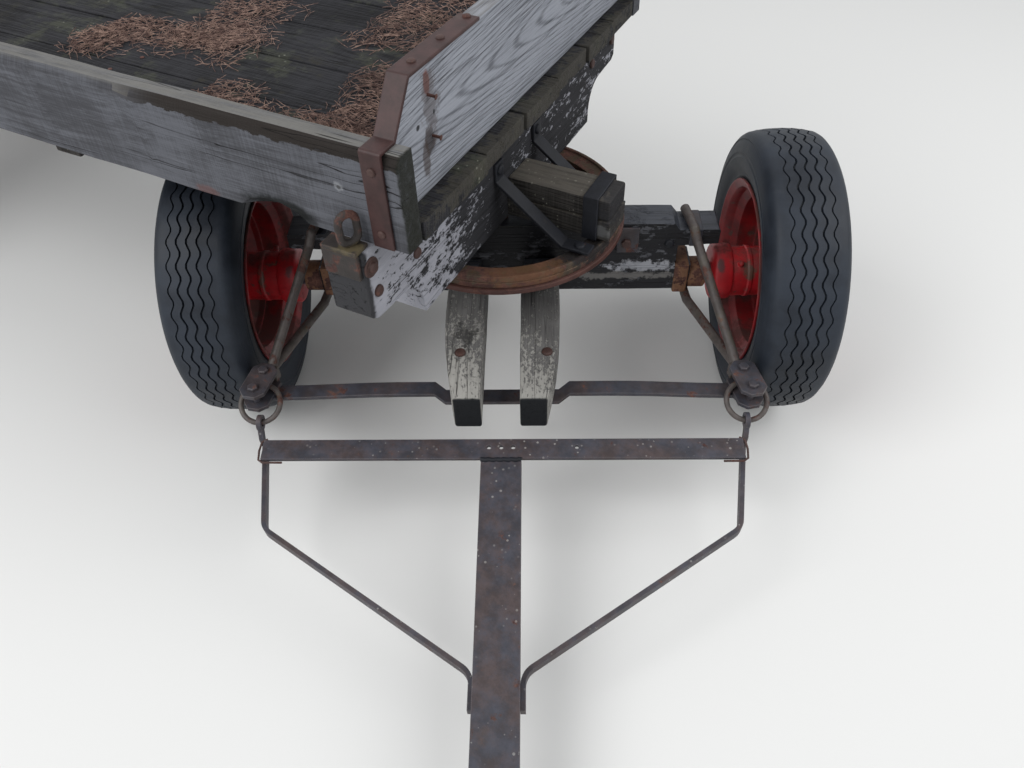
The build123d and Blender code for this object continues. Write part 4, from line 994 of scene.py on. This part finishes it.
loops = []
LOOP_X, LOOP_Y, LOOP_Z = 0.0155, 0.551, 0.8403
for base in (0, -WHEELBASE):
    for hand in (1, -1):
        ring = []
        for end in (1, -1):
            for i in range(8):
                out = end * 0.016 * cos(i * pi / 7)
                height = LOOP_Z + end * (0.012 + 0.016 * sin(i * pi / 7))
                ring.append((LOOP_X + base - hand * 0.485 * out, hand * LOOP_Y + 0.875 * out, height))
        loops.append(rod("loop", ring, 0.0072, True))
        for inside, bottom, top in ((0.533, 0.7993, 0.8073), (0.562, 0.7493, 0.7995)):
            plate = block("loop_plate", (base - 0.036, hand * inside, bottom), (base + 0.036, hand * 0.57, top))
            loops.append(soften(plate, 0.0016))
fit("stake_loops_forged", loops, "bed", loop_iron, ["stake_loops"])

# Bolts, nails and small irons
dome = bolt_head("dome", 0.0115, 0.006, 18, crown=0.75)
small_dome = bolt_head("small_dome", 0.0075, 0.004, 14, crown=0.75)
hound_dome = bolt_head("hound_dome", 0.0125, 0.006, 20, crown=0.7)
seated_dome = bolt_head("seated_dome", 0.011, 0.008, 18, washer=0.019, crown=0.6)
hexagon = bolt_head("hexagon", 0.0118, 0.0085, 6, crown=0.2)
nail = bolt_head("nail", 0.0048, 0.0016, 10, crown=0.3)
bolts = []
for end, x, face in ((1, 0.066, 0.042), (-1, -2.848, -2.342)):
    for hand in (-1, 1):
        for y in (0.389, 0.301, 0.214):
            bolts.append(stood(small_dome, "strap_bolt", (x, hand * y, 1.0599), (0, 0, 1)))
        for z in (0.946, 0.83):
            bolts.append(stood(small_dome, "leg_bolt", (x, hand * 0.5298, z), (0, hand, 0)))
        for pattern, y, z in ((seated_dome, 0.544, 0.765), (dome, 0.536, 0.708), (dome, 0.41, 0.701)):
            bolts.append(stood(pattern, "bolster_bolt", (face, hand * y, z), (end, 0, 0)))
fit("bed_bolts", bolts, "bed", rusted_iron)
bolts = []
for hand in (-1, 1):
    bolts.append(stood(dome, "brace_bolt", (0.0488, hand * 0.09, 0.694), (1, 0, 0)))
    bolts.append(stood(dome, "brace_bolt", (0.235, hand * 0.09, 0.556), (0, 0, 1)))
fit("brace_bolts", bolts, "bed", brace_iron)

nails = []
for y, z in ((-0.375, 1.002), (-0.372, 0.929)):
    nails.append(drum("board_nail", (0.0865, y, z), 0.0026, 0.017, (1, 0.12, -0.1), 8))
    nails.append(stood(nail, "nail_head", (0.0942, y + 0.001, z - 0.001), (1, 0.12, -0.1)))
for i, (right, left) in enumerate(zip(PLANK_EDGES, PLANK_EDGES[1:])):
    for x in (-0.01, -0.78, -1.53, -2.31):
        for y in (right + 0.035, left - 0.035):
            nails.append(stood(nail, "deck_nail", (x + 0.008 * ((i * 3) % 4), y, DECK_TOP - 0.0007), (0, 0, 1)))
fit("bed_nails", nails, "bed", red_rust)

bolts = [stood(hound_dome, "hound_bolt", (x, y, 0.3495), (0, 0, 1)) for x, y in ((0.296, -0.092), (0.295, 0.102))]
bolts.append(stood(hexagon, "plate_bolt", (0.043, 0.289, 0.457), (1, 0, 0), 0.3))
fit("hound_bolts", bolts, "front_carriage", rusted_iron)

bolts = []
for hand in (1, -1):
    for step in (1, -1):
        x = 0.352 + step * 0.027 * cos(radians(12))
        y = hand * (0.54 + step * 0.027 * sin(radians(12)))
        bolts.append(drum("clevis_pin", (x, y, 0.302), 0.0079, 0.05, sides=20))
        bolts.append(stood(hexagon, "clevis_head", (x, y, 0.326), (0, 0, 1), 0.3 + step * 0.4 + hand))
        bolts.append(stood(hexagon, "clevis_nut", (x, y, 0.278), (0, 0, -1), 0.8 - step * 0.2))
fit("clevis_bolts_worn", bolts, "front_carriage", black_iron, ["clevis_bolts"])

fittings = [soften(block("beam_plate", (0.0375, 0.268, 0.428), (0.0435, 0.318, 0.497)), 0.0014),
            soften(block("tip_band", (-0.0395, 0.436, 0.4415), (0.0405, 0.465, 0.4895)), 0.003)]
fit("beam_irons", fittings, "front_carriage", black_iron)
bolts = [stood(dome, "beam_bolt", (0.0375, hand * 0.391, 0.449), (1, 0, 0)) for hand in (1, -1)]
fit("beam_bolts", bolts, "front_carriage", brace_iron)
clamps = []
for hand in (1, -1):
    clamps.append(block("clamp_plate", (-0.0415, hand * 0.412, 0.303), (0.0425, hand * 0.446, 0.388)))
    clamps.append(drum("clamp_collar", (0, hand * 0.468, AXLE_Z), 0.0375, 0.048, (0, 1, 0), 28))
clamps = roughen(merge_pieces("axle_clamps", [soften(piece, 0.004) for piece in clamps]), 0.002, 0.02)
settle(clamps, "front_carriage", clamp_rust, CARRIAGE)

bar = block("bar", (0.034, -0.527, -0.027), (0.084, 0.527, -0.018))
for y in (0.026, 0.0, -0.027, 0.165):
    hole = drum("hole", (0.055, y, -0.0225), 0.005, 0.03, sides=20)
    modify(bar, "BOOLEAN", operation="DIFFERENCE", object=hole, solver="EXACT")
    scrap(hole)
settle(soften(bar, 0.0012), "drawbar", drawbar_iron, DRAWBAR, ["crossbar"])
bead = [(0.086 + 0.0012 * (i % 3), -0.044 + 0.0055 * i, -0.019 + 0.001 * (i % 2)) for i in range(17)]
bead = roughen(rod("weld_bead", bead, 0.0056), 0.0028, 0.007)
settle(bead, "drawbar", brace_iron, DRAWBAR)
CLIP = ((0.0885, 0.48, -0.025), (0.0885, 0.523, -0.0245), (0.082, 0.5325, -0.0235), (0.06, 0.5345, -0.022),
        (0.038, 0.532, -0.021), (0.031, 0.52, -0.02))
clips = [rod("end_clip", [(x, hand * y, z) for x, y, z in CLIP], 0.0025) for hand in (1, -1)]
fit("drawbar_end_clips", clips, "drawbar", rusted_iron)
scrap(dome, small_dome, hound_dome, seated_dome, hexagon, nail)

# Fallen needles that lie on the deck in drifts
chance = random.Random(7)
needle = drum("needle", (0, 0, 0), 0.0007, 0.046, (1, 0, 0), 3)
divide(needle, 0, 1)
nudge(needle, lambda corner: abs(corner.co.x) < 0.001, (0, 0.003, 0.0015))
handful = []
for i in range(56):
    spread = 0.074 * chance.random() ** 0.6
    around = chance.uniform(0, 2 * pi)
    height = 0.0012 + 0.01 * chance.random() * (1 - spread / 0.085)
    turn = Matrix.Rotation(chance.uniform(0, 2 * pi), 4, "Z") @ Matrix.Rotation(chance.gauss(0, 0.22), 4, "Y")
    size = chance.uniform(0.6, 1.15)
    place = at(spread * cos(around), spread * sin(around), height) @ turn @ Matrix.Diagonal((size, 1, 1, 1))
    handful.append(move(again(needle, f"needle_{i}"), place))
handful = merge_pieces("handful", handful)
# Each drift: its ends along the bed, its sides across it, how many handfuls it has and how high they are heaped
DRIFTS = [((-0.26, -0.02), (-0.415, -0.32), 46, 0.012), ((-0.22, -0.02), (-0.33, -0.06), 20, 0),
          ((-0.5, -0.35), (-0.415, -0.28), 9, 0), ((-0.93, -0.74), (-0.22, -0.11), 9, 0),
          ((-0.72, -0.58), (-0.14, 0.12), 14, 0), ((-0.4, -0.03), (0.05, 0.41), 20, 0),
          ((-1.5, -1.2), (-0.415, -0.36), 6, 0), ((-2.0, -1.7), (0.3, 0.41), 7, 0),
          ((-2.75, -2.55), (-0.41, 0.4), 12, 0)]
drifts = []
for ends, sides, count, heap in DRIFTS:
    for i in range(count):
        lift = chance.uniform(0, heap)
        place = at(chance.uniform(*ends), chance.uniform(*sides), DECK_TOP - 0.0001 + lift)
        place = place @ Matrix.Rotation(chance.uniform(0, 6.28), 4, "Z")
        place = place @ Matrix.Diagonal((1, 1, chance.uniform(0.6, 1.3), 1))
        drifts.append(move(again(handful, f"drift_{len(drifts)}"), place))
fit("needle_drifts", drifts, "bed", needle_brown)
scrap(needle, handful)

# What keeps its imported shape
PLAIN = {
    rusted_iron: ["kingpin"], black_iron: ["rear_axle", "front_axle", "clevis_plates"],
    rod_iron: ["link_rings", "stay_rods"], drawbar_iron: ["tongue", "hitch_eye", "side_irons"],
}
for finish, names in PLAIN.items():
    for name in names:
        for spot in nodes[name].material_slots:
            spot.material = finish

# Camera, light and floor
VIEWPOINT = BED.translation + Vector((0.76459, -1.39575, 1.63319))
VIEW_TURN = (radians(43.033), radians(1.4558), radians(26.8412))
camera = bpy.data.objects.new("camera", bpy.data.cameras.new("camera"))
scene.collection.objects.link(camera)
camera.location = VIEWPOINT
camera.rotation_euler = VIEW_TURN
camera.data.lens = 28.76
camera.data.sensor_width = 36
scene.camera = camera

# The sky looks brighter in the picture and in shiny faces than it lights the wagon
world = bpy.data.worlds.new("soft studio")
scene.world = world
world.use_nodes = True
rays = world.node_tree.nodes.new("ShaderNodeLightPath").outputs
seen = calc("MAXIMUM", rays["Is Camera Ray"], rays["Is Glossy Ray"])
feed(world.node_tree.nodes["Background"], {"Strength": span(seen, 0, 1, 0.62, 0.9), "Color": (0.97, 0.985, 1.0, 1)})

LIT_POINT = Vector((0.6, -0.2, 0.3))
for name, place, power in (("key", Vector((-1.5, -3.5, 5.0)), 260), ("fill", Vector((4.5, 1.5, 4.0)), 120)):
    lamp = bpy.data.objects.new(name, bpy.data.lights.new(name, "AREA"))
    lamp.data.size = 4.0
    lamp.data.energy = power
    lamp.location = place
    lamp.rotation_euler = (LIT_POINT - place).to_track_quat("-Z", "Y").to_euler()
    scene.collection.objects.link(lamp)

let_go()
bpy.ops.mesh.primitive_plane_add(size=60, location=(0, 0, 0))
floor = bpy.context.object
floor.name = "floor"
pale = bpy.data.materials.new("pale floor")
pale.use_nodes = True
feed(pale.node_tree.nodes["Principled BSDF"], {"Base Color": (0.72, 0.72, 0.71, 1), "Roughness": 0.9})
floor.data.materials.append(pale)

scene.view_settings.view_transform = "Standard"
